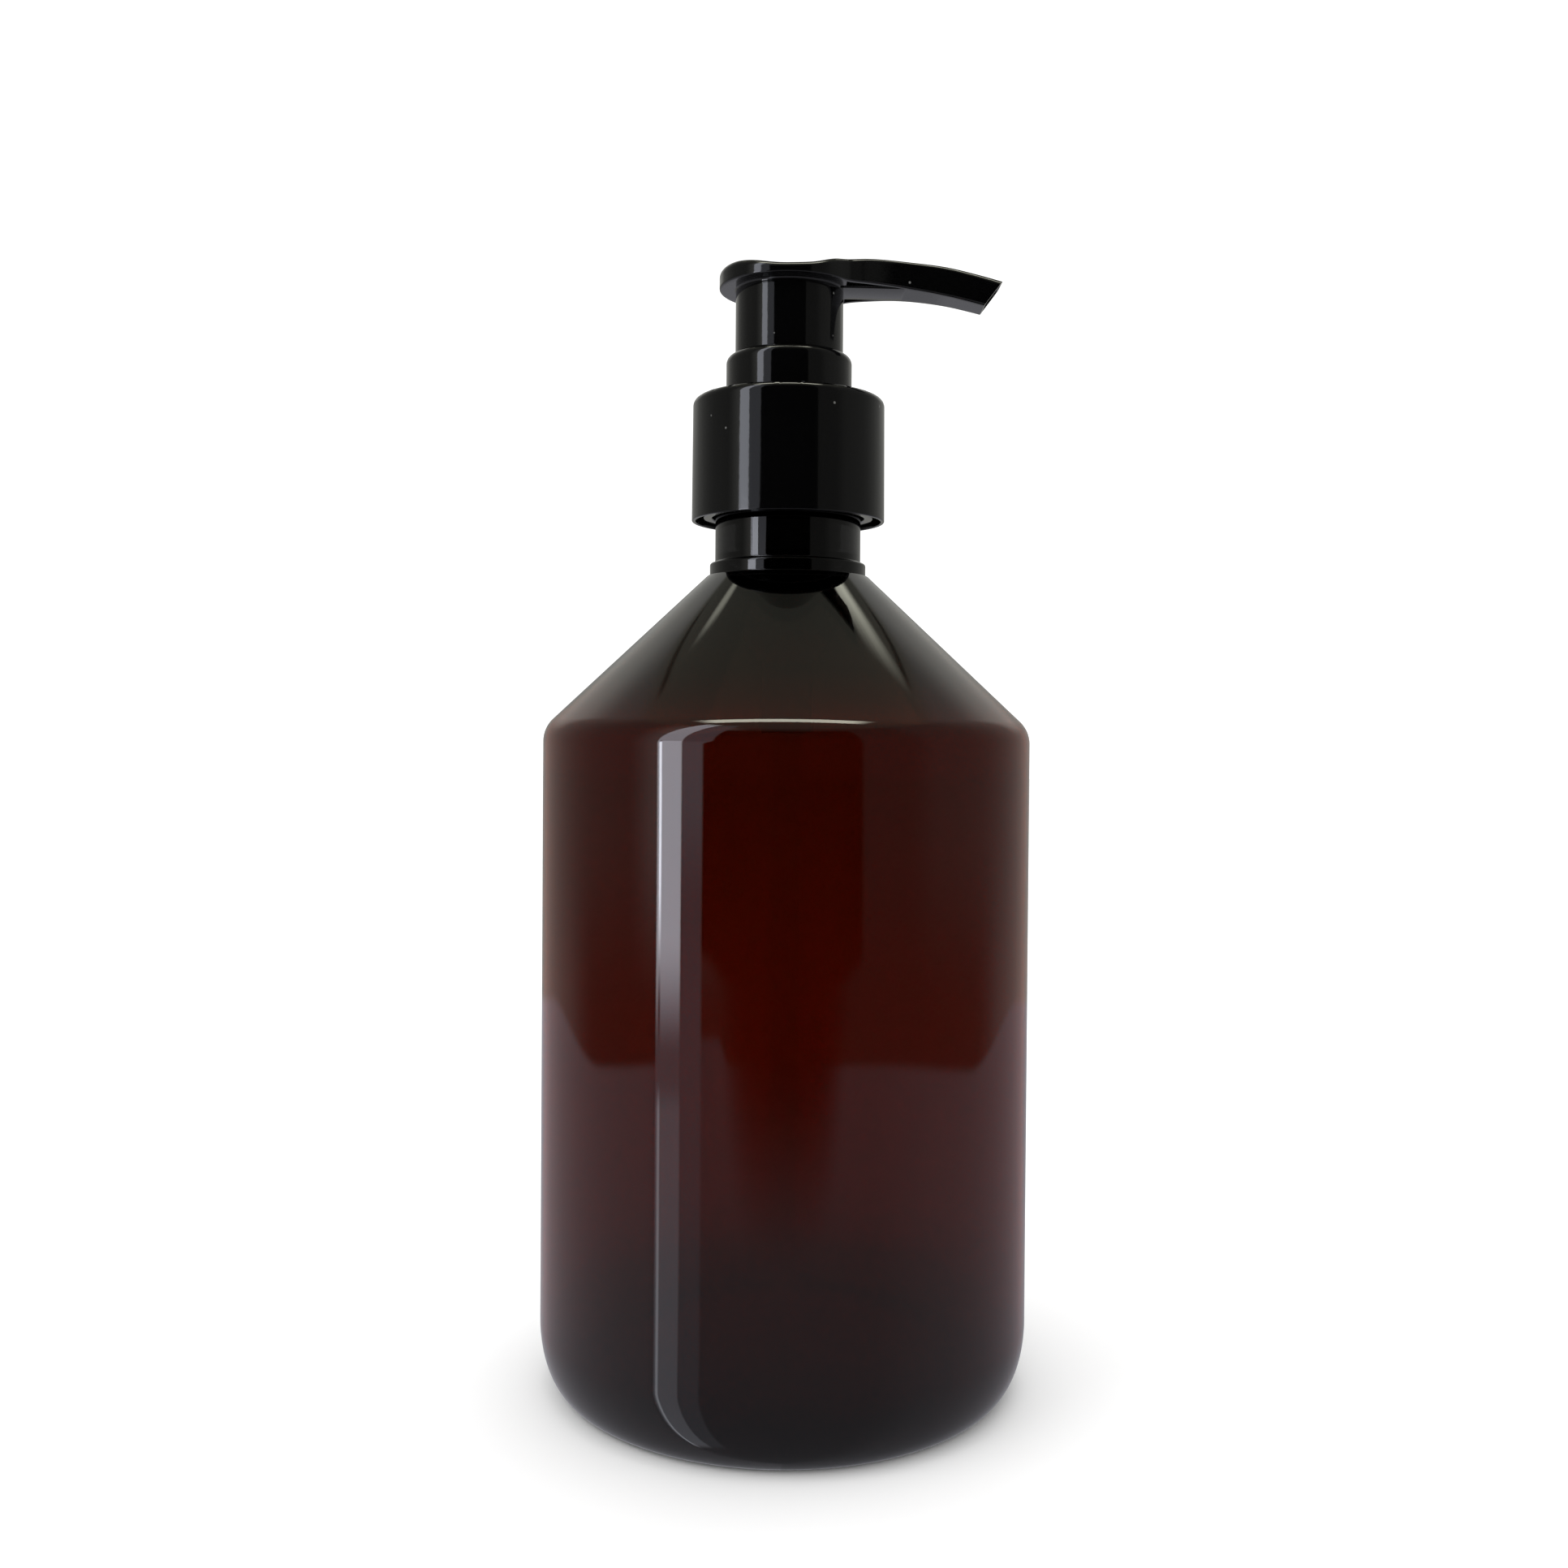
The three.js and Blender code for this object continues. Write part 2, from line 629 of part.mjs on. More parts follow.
// The hollows under the spout's root, on both sides of the duct.
function pockets() {
  const z0 = PLATE_Z - 4;
  const plan = solid(planSlab(SPOUT_WALL, z0, POCKET_TOP_Z));
  const reach = box(POST_R + 0.3, POCKET_END_X, -PLATE_R, PLATE_R, z0, POCKET_TOP_Z);
  const core = box(0, POCKET_END_X + 1, -DUCT_HALF_WIDTH, DUCT_HALF_WIDTH, DUCT_Z0, POCKET_TOP_Z + 1);
  return plan.intersect(solid(reach)).subtract(solid(core));
}

// The post's socket for the stem, closed at its top by the plate.
function stemSocket(weldZ) {
  return revolve([
    point(0, STEM_SOCKET_TOP_Z),
    point(STEM_SOCKET_R, STEM_SOCKET_TOP_Z),
    point(STEM_SOCKET_R, STEM_SOCKET_Z0),
    point(STEM_SOCKET_OUT_R, STEM_SOCKET_Z0),
    point(STEM_SOCKET_OUT_R, weldZ),
    point(0, weldZ),
  ], SMALL_SEGMENTS);
}

function actuator() {
  const postBoreR = POST_R - POST_WALL;
  const weldZ = PLATE_Z + PLATE_WELD;
  const plate = solid(planSlab(0, POST_Z0, weldZ + PLATE_R)).intersect(solid(sideSlab()));
  const duct = box(
    POST_R - PLATE_WELD, POCKET_END_X, -DUCT_HALF_WIDTH, DUCT_HALF_WIDTH, DUCT_Z0, PLATE_Z + 1);
  const innerDuct = box(
    STEM_SOCKET_OUT_R - 1, postBoreR + PLATE_WELD,
    -DUCT_INNER_HALF_WIDTH, DUCT_INNER_HALF_WIDTH, DUCT_INNER_Z0, weldZ);
  const post = ring(postBoreR, POST_R, POST_Z0, weldZ, FINE_SEGMENTS);
  const stemBore = ring(0, STEM_SOCKET_R, STEM_SOCKET_Z0 - 1, STEM_SOCKET_TOP_Z, SMALL_SEGMENTS);
  const whole = plate
    .subtract(pockets())
    .add(solid(duct))
    .add(solid(post))
    .add(solid(innerDuct))
    .add(solid(stemSocket(weldZ)))
    .subtract(solid(stemBore))
    .subtract(solid(channel()))
    .subtract(solid(mouth()));
  return named('actuator', geometryOf(whole), black());
}

// ---- Assembly -------------------------------------------------------------------------------------------

const dispenser = new THREE.Group();

const pumpEngine = new THREE.Group();
pumpEngine.add(housing(), gasket(), dipTube(), lockRing(), inletBall(), ballCage(), spring());

const plunger = new THREE.Group();
plunger.add(stem(), pistonRod(), piston(), actuator());

dispenser.add(bottle(), closure(), pumpEngine, plunger);

export default dispenser;
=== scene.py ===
# The soap pump dispenser's visual model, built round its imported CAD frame.
# Lengths are millimetres, and metres where a name ends in _m or a comment says so.
# MM turns millimetres into Blender's metres.

import json
import math

import bmesh
import bpy
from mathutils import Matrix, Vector


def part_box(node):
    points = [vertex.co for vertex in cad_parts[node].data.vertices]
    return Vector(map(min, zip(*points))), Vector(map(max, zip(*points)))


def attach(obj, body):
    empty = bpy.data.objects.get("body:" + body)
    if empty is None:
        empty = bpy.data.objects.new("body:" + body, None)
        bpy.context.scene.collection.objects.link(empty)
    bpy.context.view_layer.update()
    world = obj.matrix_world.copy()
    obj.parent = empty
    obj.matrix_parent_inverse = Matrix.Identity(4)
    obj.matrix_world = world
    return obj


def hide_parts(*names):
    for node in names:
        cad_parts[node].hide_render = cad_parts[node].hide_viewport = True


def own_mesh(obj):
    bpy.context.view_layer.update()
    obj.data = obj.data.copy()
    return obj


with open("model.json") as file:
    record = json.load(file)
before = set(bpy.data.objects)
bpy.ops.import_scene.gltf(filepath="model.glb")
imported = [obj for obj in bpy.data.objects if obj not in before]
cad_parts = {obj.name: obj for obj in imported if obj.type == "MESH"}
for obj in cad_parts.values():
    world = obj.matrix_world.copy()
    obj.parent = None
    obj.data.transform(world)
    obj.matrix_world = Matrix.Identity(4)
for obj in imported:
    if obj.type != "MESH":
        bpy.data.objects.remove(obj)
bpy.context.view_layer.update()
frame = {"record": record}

MM = 0.001

# ---- Driving dimensions ----------------------------------------------------------------------


def cad_size(node):
    """A CAD node's largest radius about the axis, lowest height and highest height."""
    low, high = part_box(node)
    return high.y / MM, low.z / MM, high.z / MM


BODY_R, _, FINISH_TOP_Z = cad_size("bottle")
COLLAR_R, COLLAR_Z0, COLLAR_Z1 = cad_size("closure")
LOCK_FLANGE_R, LOCK_Z0, TURRET_TOP_Z = cad_size("lock_ring")
FLANGE_R, SOCKET_BOTTOM_Z, FLANGE_TOP_Z = cad_size("housing")
PLATE_R, POST_Z0, _ = cad_size("actuator")
DIP_R, DIP_Z0, DIP_Z1 = cad_size("dip_tube")
STEM_COLLAR_R, STEM_Z0, STEM_Z1 = cad_size("stem")
ROD_SEAT_R, ROD_Z0, ROD_Z1 = cad_size("piston_rod")
PISTON_R, PISTON_Z0, PISTON_Z1 = cad_size("piston")
CAGE_R, CAGE_Z0, CAGE_Z1 = cad_size("ball_cage")
SPRING_OUT_R, SPRING_Z0, SPRING_Z1 = cad_size("spring")
GASKET_R, GASKET_Z0, GASKET_Z1 = cad_size("gasket")
BALL_R, BALL_Z0, BALL_Z1 = cad_size("inlet_ball")

BODY_WALL = 0.85
BASE_RING_OUT_R = 34.2
BASE_RING_IN_R = 27
HEEL_H = 10.4
PUSH_UP_H = 6.5
PUSH_UP_WALL = 1.3
SHOULDER_CORNER_Z = 103.7
SHOULDER_SLOPE = 1.057
SHOULDER_EDGE_R = 4.9
SHOULDER_TOP_R = 14.6
BEAD_R = 12.54
BEAD_Z0 = 128.2
BEAD_Z1 = 130.3
LOWER_NECK_R = 11.7
LOWER_NECK_TOP_Z = 138.5
FINISH_R = 10.8
FINISH_BORE_R = 8.6

THREAD_PITCH = 3.175
THREAD_TURNS = 1.5
THREAD_Z = 141
FINISH_THREAD_H = 0.95
CLOSURE_THREAD_H = 0.85

SLEEVE_OUT_R = 13.7
SLEEVE_IN_R = 12.2
SLEEVE_Z0 = 137.5
COLLAR_TOP_R = 15.38
COLLAR_SHELL = 0.6
COLLAR_PLATE_Z = 155.2
RIB_COUNT = 24

TURRET_R = 10.1
TURRET_BORE_R = 9
PLATE_Z = 174.1
DUCT_Z0 = 173.9
POST_R = 8.67
POST_BORE_R = 7.82
STEM_R = 3.2
STEM_BORE_R = 2

# Faces round a lathed piece; the closure's are a multiple of its ribs
BOTTLE_STEPS = 256
CLOSURE_STEPS = 10 * RIB_COUNT
FINE_STEPS = 192
SMALL_STEPS = 96
TINY_STEPS = 64

# How near two points are merged, in metres
MERGE = 1e-6
BOOLEAN_MERGE = 4e-6


# ---- Mesh helpers ----------------------------------------------------------------------------


def arc(cx, cz, rx, rz, start, stop, steps):
    """Points of an elliptical arc in a section plane, angles in degrees."""
    points = []
    for i in range(steps + 1):
        a = math.radians(start + (stop - start) * i / steps)
        points.append((cx + rx * math.cos(a), cz + rz * math.sin(a)))
    return points


def rounded(corners):
    """A closed outline from corners (r, z) or (r, z, fillet radius)."""
    points = []
    count = len(corners)
    for i, corner in enumerate(corners):
        here = Vector(corner[:2])
        fillet = corner[2] if len(corner) > 2 else 0
        if not fillet:
            points.append(tuple(here))
            continue
        back = (Vector(corners[i - 1][:2]) - here).normalized()
        ahead = (Vector(corners[(i + 1) % count][:2]) - here).normalized()
        half = back.angle(ahead) / 2
        reach = fillet / math.tan(half)
        centre = here + (back + ahead).normalized() * (fillet / math.sin(half))
        start = here + back * reach - centre
        sweep = start.angle_signed(here + ahead * reach - centre)
        steps = max(3, round(abs(math.degrees(sweep)) / 15))
        for k in range(steps + 1):
            turn = -sweep * k / steps
            c, s = math.cos(turn), math.sin(turn)
            points.append((centre.x + start.x * c - start.y * s, centre.y + start.x * s + start.y * c))
    return points


def new_object(name, verts, faces):
    """A mesh object from points in millimetres, with doubles merged and faces turned outwards."""
    mesh = bpy.data.meshes.new(name)
    mesh.from_pydata([(x * MM, y * MM, z * MM) for x, y, z in verts], [], faces)
    piece = bpy.data.objects.new(name, mesh)
    bpy.context.scene.collection.objects.link(piece)
    clean(piece)
    return piece


def clean(piece, merge=MERGE):
    """Merges doubled points, drops faces of no size and turns the faces outwards."""
    shape = bmesh.new()
    shape.from_mesh(piece.data)
    bmesh.ops.remove_doubles(shape, verts=shape.verts, dist=merge)
    bmesh.ops.dissolve_degenerate(shape, edges=shape.edges, dist=merge)
    bmesh.ops.recalc_face_normals(shape, faces=shape.faces)
    if shape.calc_volume(signed=True) < 0:
        bmesh.ops.reverse_faces(shape, faces=shape.faces)
    shape.to_mesh(piece.data)
    shape.free()


def finish_shading(piece):
    """Smooth shading, with edges kept sharp where faces meet at more than this angle."""
    sharp_degrees = 32
    for polygon in piece.data.polygons:
        polygon.use_smooth = True
    piece.data.set_sharp_from_angle(angle=math.radians(sharp_degrees))


def same(x, y, z, angle):
    """The warp that changes nothing."""
    return x, y, z


def held(section):
    """The section with a point added near both ends of each long edge, so that the rounded corners
    next to a flat face don't bend its shading."""
    long_mm = 1.0
    margin_mm = 0.12
    closed = section[0][0] > 0
    ends = [*section[1:], section[0]] if closed else section[1:]
    points = []
    for start, stop in zip(section, ends):
        points.append(start)
        a, b = Vector(start), Vector(stop)
        length = (b - a).length
        if length > long_mm:
            points.append(tuple(a.lerp(b, margin_mm / length)))
            points.append(tuple(a.lerp(b, 1 - margin_mm / length)))
    if not closed:
        points.append(section[-1])
    return points


def lathe(name, section, steps=FINE_STEPS, warp=same):
    """A body of revolution from its section, points (radius, height).
    A section that starts and ends on the axis is left open there, and any other closes on itself."""
    verts = []
    rows = []
    for radius, height in held(section):
        row = []
        for i in range(steps):
            angle = 2 * math.pi * i / steps
            row.append(len(verts))
            verts.append(warp(radius * math.cos(angle), radius * math.sin(angle), height, angle))
        rows.append(row)
    if section[0][0] > 0:
        rows.append(rows[0])
    faces = []
    for low, high in zip(rows, rows[1:]):
        for i in range(steps):
            j = (i + 1) % steps
            faces.append((low[i], low[j], high[j], high[i]))
    return new_object(name, verts, faces)


def box_piece(name, x0, x1, y0, y1, z0, z1, turn=0):
    """A box between two corners, turned about the Z axis by an angle in radians."""
    corners = [(x, y, z) for x in (x0, x1) for y in (y0, y1) for z in (z0, z1)]
    c, s = math.cos(turn), math.sin(turn)
    verts = [(x * c - y * s, x * s + y * c, z) for x, y, z in corners]
    faces = [(0, 1, 3, 2), (4, 6, 7, 5), (0, 4, 5, 1), (2, 3, 7, 6), (0, 2, 6, 4), (1, 5, 7, 3)]
    return new_object(name, verts, faces)


def loft(name, loops, cap_start=True, cap_end=True):
    """A skin over loops of equal length, each closed, with flat caps on its open ends."""
    verts = [point for loop in loops for point in loop]
    size = len(loops[0])
    faces = []
    for k in range(len(loops) - 1):
        for i in range(size):
            j = (i + 1) % size
            a = k * size
            b = a + size
            faces.append((a + i, a + j, b + j, b + i))
    if cap_start:
        faces.append(tuple(range(size)))
    if cap_end:
        last = (len(loops) - 1) * size
        faces.append(tuple(range(last, last + size)))
    return new_object(name, verts, faces)


def boolean(piece, operation, *others):
    """Joins or cuts piece with other closed pieces, which are used up."""
    for other in others:
        modifier = piece.modifiers.new("boolean", "BOOLEAN")
        modifier.operation = operation
        modifier.solver = "EXACT"
        modifier.object = other
    bpy.context.view_layer.update()
    graph = bpy.context.evaluated_depsgraph_get()
    result = bpy.data.meshes.new_from_object(piece.evaluated_get(graph))
    piece.modifiers.clear()
    piece.data = result
    for other in others:
        bpy.data.objects.remove(other)
    clean(piece, BOOLEAN_MERGE)
    return piece


def smoothstep(low, high, value):
    t = min(max((value - low) / (high - low), 0), 1)
    return t * t * (3 - 2 * t)


def spline(points):
    """A smooth function through points (x, value), in rising x."""
    xs = [p[0] for p in points]
    ys = [p[1] for p in points]
    last = len(xs) - 1
    slopes = []
    for i in range(last + 1):
        a, b = max(i - 1, 0), min(i + 1, last)
        slopes.append((ys[b] - ys[a]) / (xs[b] - xs[a]))

    def value(x):
        x = min(max(x, xs[0]), xs[-1])
        i = max(k for k in range(last) if xs[k] <= x)
        width = xs[i + 1] - xs[i]
        t = (x - xs[i]) / width
        h00 = 2 * t**3 - 3 * t**2 + 1
        h10 = t**3 - 2 * t**2 + t
        h01 = -2 * t**3 + 3 * t**2
        h11 = t**3 - t**2
        return h00 * ys[i] + h10 * width * slopes[i] + h01 * ys[i + 1] + h11 * width * slopes[i + 1]

    return value


def thread_bump(angle, z, start_z):
    """How far a thread stands out at this angle and height, from 0 to 1."""
    fade_turns = 0.07
    crest_half_w = 0.3
    root_half_w = 1.0
    bump = 0
    for turn in range(math.ceil(THREAD_TURNS)):
        along = angle / (2 * math.pi) + turn
        if along > THREAD_TURNS:
            continue
        off = abs(z - start_z - THREAD_PITCH * along)
        start_fade = smoothstep(0, fade_turns, along)
        end_fade = 1 - smoothstep(THREAD_TURNS - fade_turns, THREAD_TURNS, along)
        bump = max(bump, (1 - smoothstep(crest_half_w, root_half_w, off)) * start_fade * end_fade)
    return bump


# ---- Material helpers ------------------------------------------------------------------------


class Shader:
    """A small builder for one material's node tree round its Principled shader. Distances are metres."""

    def __init__(self, name):
        self.material = bpy.data.materials.new(name)
        self.material.use_nodes = True
        self.nodes = self.material.node_tree.nodes
        self.links = self.material.node_tree.links
        self.principled = self.nodes["Principled BSDF"]
        self.coords = self.nodes.new("ShaderNodeTexCoord").outputs["Object"]

    def set(self, **values):
        for name, value in values.items():
            self.principled.inputs[name.replace("_", " ")].default_value = value

    def link(self, output, socket):
        self.links.new(output, self.principled.inputs[socket])

    def noise(self, scale, detail=3.0, stretch=(1, 1, 1)):
        mapping = self.nodes.new("ShaderNodeMapping")
        mapping.inputs["Scale"].default_value = stretch
        self.links.new(self.coords, mapping.inputs["Vector"])
        texture = self.nodes.new("ShaderNodeTexNoise")
        texture.inputs["Scale"].default_value = scale
        texture.inputs["Detail"].default_value = detail
        self.links.new(mapping.outputs["Vector"], texture.inputs["Vector"])
        return texture.outputs["Fac"]

    def specks(self, scale, size):
        """A mask of sparse round dust specks."""
        texture = self.nodes.new("ShaderNodeTexVoronoi")
        texture.inputs["Scale"].default_value = scale
        self.links.new(self.coords, texture.inputs["Vector"])
        near = self.remap(texture.outputs["Distance"], size * 0.6, size, 1, 0)
        chance = self.nodes.new("ShaderNodeSeparateColor")
        self.links.new(texture.outputs["Color"], chance.inputs["Color"])
        rare = self.remap(chance.outputs["Red"], 0.80, 0.83, 0, 1)
        return self.math("MULTIPLY", near, rare)

    def remap(self, value, from_low, from_high, to_low, to_high):
        node = self.nodes.new("ShaderNodeMapRange")
        node.inputs["From Min"].default_value = from_low
        node.inputs["From Max"].default_value = from_high
        node.inputs["To Min"].default_value = to_low
        node.inputs["To Max"].default_value = to_high
        self.links.new(value, node.inputs["Value"])
        return node.outputs["Result"]

    def math(self, operation, a, b):
        node = self.nodes.new("ShaderNodeMath")
        node.operation = operation
        for socket, value in zip(node.inputs, (a, b)):
            if isinstance(value, (int, float)):
                socket.default_value = value
            else:
                self.links.new(value, socket)
        return node.outputs["Value"]

    def mix(self, factor, a, b):
        node = self.nodes.new("ShaderNodeMix")
        node.data_type = "RGBA"
        self.links.new(factor, node.inputs["Factor"])
        for socket, value in ((node.inputs["A"], a), (node.inputs["B"], b)):
            if isinstance(value, tuple):
                socket.default_value = (*value, 1)
            else:
                self.links.new(value, socket)
        return node.outputs["Result"]

    def height_ramp(self, stops):
        """A colour that changes with height, stops being (height in millimetres, colour)."""
        low, high = stops[0][0], stops[-1][0]
        split = self.nodes.new("ShaderNodeSeparateXYZ")
        self.links.new(self.coords, split.inputs["Vector"])
        share = self.remap(split.outputs["Z"], low * MM, high * MM, 0, 1)
        ramp = self.nodes.new("ShaderNodeValToRGB")
        ramp.color_ramp.interpolation = "EASE"
        elements = ramp.color_ramp.elements
        while len(elements) < len(stops):
            elements.new(0.5)
        for element, (height, colour) in zip(elements, stops):
            element.position = (height - low) / (high - low)
            element.color = (*colour, 1)
        self.links.new(share, ramp.inputs["Fac"])
        return ramp.outputs["Color"]

    def bump(self, height, distance, strength=1.0):
        node = self.nodes.new("ShaderNodeBump")
        node.inputs["Distance"].default_value = distance
        node.inputs["Strength"].default_value = strength
        self.links.new(height, node.inputs["Height"])
        self.link(node.outputs["Normal"], "Normal")


def amber_pet():
    s = Shader("amber_pet")
    s.set(IOR=1.5, Transmission_Weight=1.0)
    # Painted light: the amber's colour is set by height. A brighter red-brown paints the glow through the
    # middle of the body, and darker colours paint shade at the base, up the cone and at the neck.
    tint = s.height_ramp([
        (0, (0.018, 0.018, 0.020)),
        (6, (0.046, 0.022, 0.022)),
        (12, (0.104, 0.026, 0.022)),
        (20, (0.134, 0.027, 0.018)),
        (36, (0.147, 0.026, 0.013)),
        (60, (0.152, 0.024, 0.009)),
        (80, (0.134, 0.022, 0.007)),
        (102, (0.132, 0.024, 0.008)),
        (105, (0.112, 0.025, 0.009)),
        (109, (0.068, 0.023, 0.011)),
        (113, (0.040, 0.022, 0.013)),
        (120, (0.028, 0.020, 0.014)),
        (127, (0.006, 0.006, 0.006)),
    ])
    # The darker streaks' colour fades with height in the same way: painted shade at the base and up the
    # shoulder.
    streak_and_shade_tint = s.height_ramp([
        (0, (0.020, 0.012, 0.012)),
        (20, (0.090, 0.012, 0.004)),
        (102, (0.090, 0.012, 0.004)),
        (112, (0.020, 0.012, 0.006)),
        (122, (0.004, 0.004, 0.004)),
    ])
    streaks = s.noise(60, 2, (1, 1, 0.12))
    s.link(s.mix(s.remap(streaks, 0.35, 0.7, 0.0, 0.28), tint, streak_and_shade_tint), "Base Color")
    haze = s.noise(45, 4)
    s.link(s.remap(haze, 0.3, 0.75, 0.015, 0.05), "Roughness")
    s.bump(s.noise(38, 1, (1, 1, 0.35)), 0.00035, 0.35)
    return s.material


def black_pp():
    s = Shader("black_pp")
    s.set(IOR=1.5)
    dust = s.specks(420, 0.10)
    shade = s.mix(s.noise(120, 4), (0.0006, 0.0006, 0.0007), (0.0012, 0.0012, 0.0013))
    s.link(s.mix(dust, shade, (0.09, 0.09, 0.085)), "Base Color")
    smear = s.remap(s.noise(55, 5), 0.3, 0.75, 0.045, 0.11)
    s.link(s.math("MAXIMUM", smear, s.math("MULTIPLY", dust, 0.7)), "Roughness")
    s.bump(s.noise(900, 3), 0.00002, 0.25)
    return s.material


def natural_pp():
    s = Shader("natural_pp")
    s.set(IOR=1.49, Subsurface_Weight=0.35, Subsurface_Scale=0.002)
    s.link(s.mix(s.noise(90, 4), (0.66, 0.67, 0.64), (0.78, 0.79, 0.76)), "Base Color")
    s.link(s.remap(s.noise(200, 3), 0.3, 0.7, 0.28, 0.42), "Roughness")
    s.bump(s.noise(1200, 2), 0.00002, 0.3)
    return s.material


def natural_pe(name, alpha):
    s = Shader(name)
    s.set(IOR=1.51, Transmission_Weight=0.9, Alpha=alpha)
    s.link(s.mix(s.noise(70, 4), (0.87, 0.87, 0.83), (0.94, 0.94, 0.90)), "Base Color")
    s.link(s.remap(s.noise(150, 3), 0.3, 0.7, 0.42, 0.6), "Roughness")
    s.bump(s.noise(800, 3), 0.00003, 0.4)
    return s.material


def ball_glass():
    s = Shader("ball_glass")
    s.set(IOR=1.5, Transmission_Weight=0.9)
    s.link(s.mix(s.noise(300, 2), (0.80, 0.90, 0.88), (0.88, 0.95, 0.93)), "Base Color")
    s.link(s.remap(s.noise(500, 2), 0.3, 0.7, 0.02, 0.06), "Roughness")
    return s.material


def spring_steel():
    s = Shader("spring_steel")
    s.set(Metallic=1.0)
    s.link(s.mix(s.noise(700, 4), (0.46, 0.47, 0.48), (0.62, 0.63, 0.64)), "Base Color")
    s.link(s.remap(s.noise(900, 3), 0.3, 0.7, 0.22, 0.4), "Roughness")
    s.bump(s.noise(2500, 2), 0.00001, 0.4)
    return s.material


def studio_floor_white():
    s = Shader("studio_floor_white")
    s.link(s.mix(s.noise(3, 3), (0.90, 0.90, 0.90), (0.92, 0.92, 0.92)), "Base Color")
    s.link(s.remap(s.noise(20, 3), 0.3, 0.7, 0.75, 0.9), "Roughness")
    return s.material


MATERIALS = {
    "amber_pet": amber_pet(),
    "black_pp": black_pp(),
    "natural_pp": natural_pp(),
    "natural_pe": natural_pe("natural_pe", 1.0),
    "clear_pe": natural_pe("clear_pe", 0.2),
    "ball_glass": ball_glass(),
    "spring_steel": spring_steel(),
}
SLOTS = {row["node"]: row["material_slot"] for row in frame["record"]["subparts"]}
BODIES = {}
for body, members in frame["record"]["behaviour"]["bodies"].items():
    for member in members:
        BODIES[member] = body


def install(piece, node, look=None):
    """Puts a finished piece in the place of a CAD node: its finish, its body and its material slot.
    A look is the name of a material that isn't the slot's own."""
    finish_shading(piece)
    slot = SLOTS[node]
    piece.data.materials.clear()
    piece.data.materials.append(MATERIALS[look or slot])
    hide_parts(node)
    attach(piece, BODIES[node])


# ---- Bottle ----------------------------------------------------------------------------------


def cone_radius(z):
    """The outer radius of the cone shoulder at a height."""
    return BODY_R - SHOULDER_SLOPE * (z - SHOULDER_CORNER_Z)


def shoulder_edge(inset, steps):
    """The rounding between the straight body and the cone, moved inwards by inset."""
    lean = math.atan(SHOULDER_SLOPE)
    radius = SHOULDER_EDGE_R - inset
    reach = radius * math.tan(lean / 2)
    corner_z = SHOULDER_CORNER_Z - inset * math.tan(lean / 2)
    return arc(BODY_R - inset - radius, corner_z - reach, radius, radius, 0, math.degrees(lean), steps)


def heights(low, high, step):
    """Evenly spaced heights from low to high, about a step apart."""
    count = round((high - low) / step)
    return [low + (high - low) * i / count for i in range(count + 1)]


def dome(lift, rim_r, rim_z, steps):
    """The push-up's section from the axis to its rim."""
    points = []
    for i in range(steps + 1):
        share = i / steps
        rise = (PUSH_UP_H + lift - rim_z) * math.sqrt(max(1 - share**2.2, 0))
        points.append((rim_r * share, rim_z + rise))
    return points


def bottle_section():
    """The bottle's closed wall: push-up, heel, body, cone, bead, neck and finish, and back down inside."""
    cone_top_z = SHOULDER_CORNER_Z + (BODY_R - SHOULDER_TOP_R) / SHOULDER_SLOPE
    neck = rounded([
        (SHOULDER_TOP_R, cone_top_z),
        (cone_radius(BEAD_Z0), BEAD_Z0, 0.25),
        (BEAD_R, BEAD_Z0, 0.12),
        (BEAD_R, BEAD_Z1, 0.4),
        (LOWER_NECK_R, BEAD_Z1, 0.3),
        (LOWER_NECK_R, LOWER_NECK_TOP_Z, 0.3),
        (FINISH_R, LOWER_NECK_TOP_Z + 0.9, 0.2),
    ])[:-1]
    finish_edge = 0.5
    finish_rows = [(FINISH_R, z) for z in heights(LOWER_NECK_TOP_Z + 1.1, FINISH_TOP_Z - finish_edge, 0.2)]
    lip = arc(FINISH_R - finish_edge, FINISH_TOP_Z - finish_edge, finish_edge, finish_edge, 0, 90, 5)[1:]
    heel = arc(BASE_RING_OUT_R, HEEL_H, BODY_R - BASE_RING_OUT_R, HEEL_H, -90, 0, 26)
    outside = [*heel, *shoulder_edge(0, 14), *neck, *finish_rows, *lip]
    neck_run_z = 127
    neck_run_r = cone_radius(neck_run_z) - 2 * BODY_WALL
    inside = [
        *arc(FINISH_BORE_R + 0.3, FINISH_TOP_Z - 0.3, 0.3, 0.3, 90, 180, 4),
        *rounded([
            (FINISH_BORE_R, FINISH_TOP_Z - 0.4),
            (FINISH_BORE_R, 131, 3),
            (neck_run_r, neck_run_z, 3),
            (neck_run_r + 8 * SHOULDER_SLOPE, neck_run_z - 8),
        ])[:-1],
        *reversed(shoulder_edge(BODY_WALL, 14)),
        *arc(BASE_RING_OUT_R, HEEL_H, BODY_R - BODY_WALL - BASE_RING_OUT_R, HEEL_H - BODY_WALL, 0, -90, 20),
    ]
    under = dome(0, BASE_RING_IN_R, 0, 18)
    over = dome(PUSH_UP_WALL, BASE_RING_IN_R + BODY_WALL, BODY_WALL, 18)
    return [*under, *outside, *inside, *reversed(over)]


def bottle_warp(x, y, z, angle):
    """Adds the thread on the outside of the finish."""
    radius = math.hypot(x, y)
    if radius < FINISH_R - 0.01 or z < LOWER_NECK_TOP_Z + 1:
        return x, y, z
    grown = radius + FINISH_THREAD_H * thread_bump(angle, z, THREAD_Z)
    return grown * math.cos(angle), grown * math.sin(angle), z


install(lathe("bottle_shell", bottle_section(), BOTTLE_STEPS, bottle_warp), "bottle")


# ---- Closure, gasket and lock ring -----------------------------------------------------------


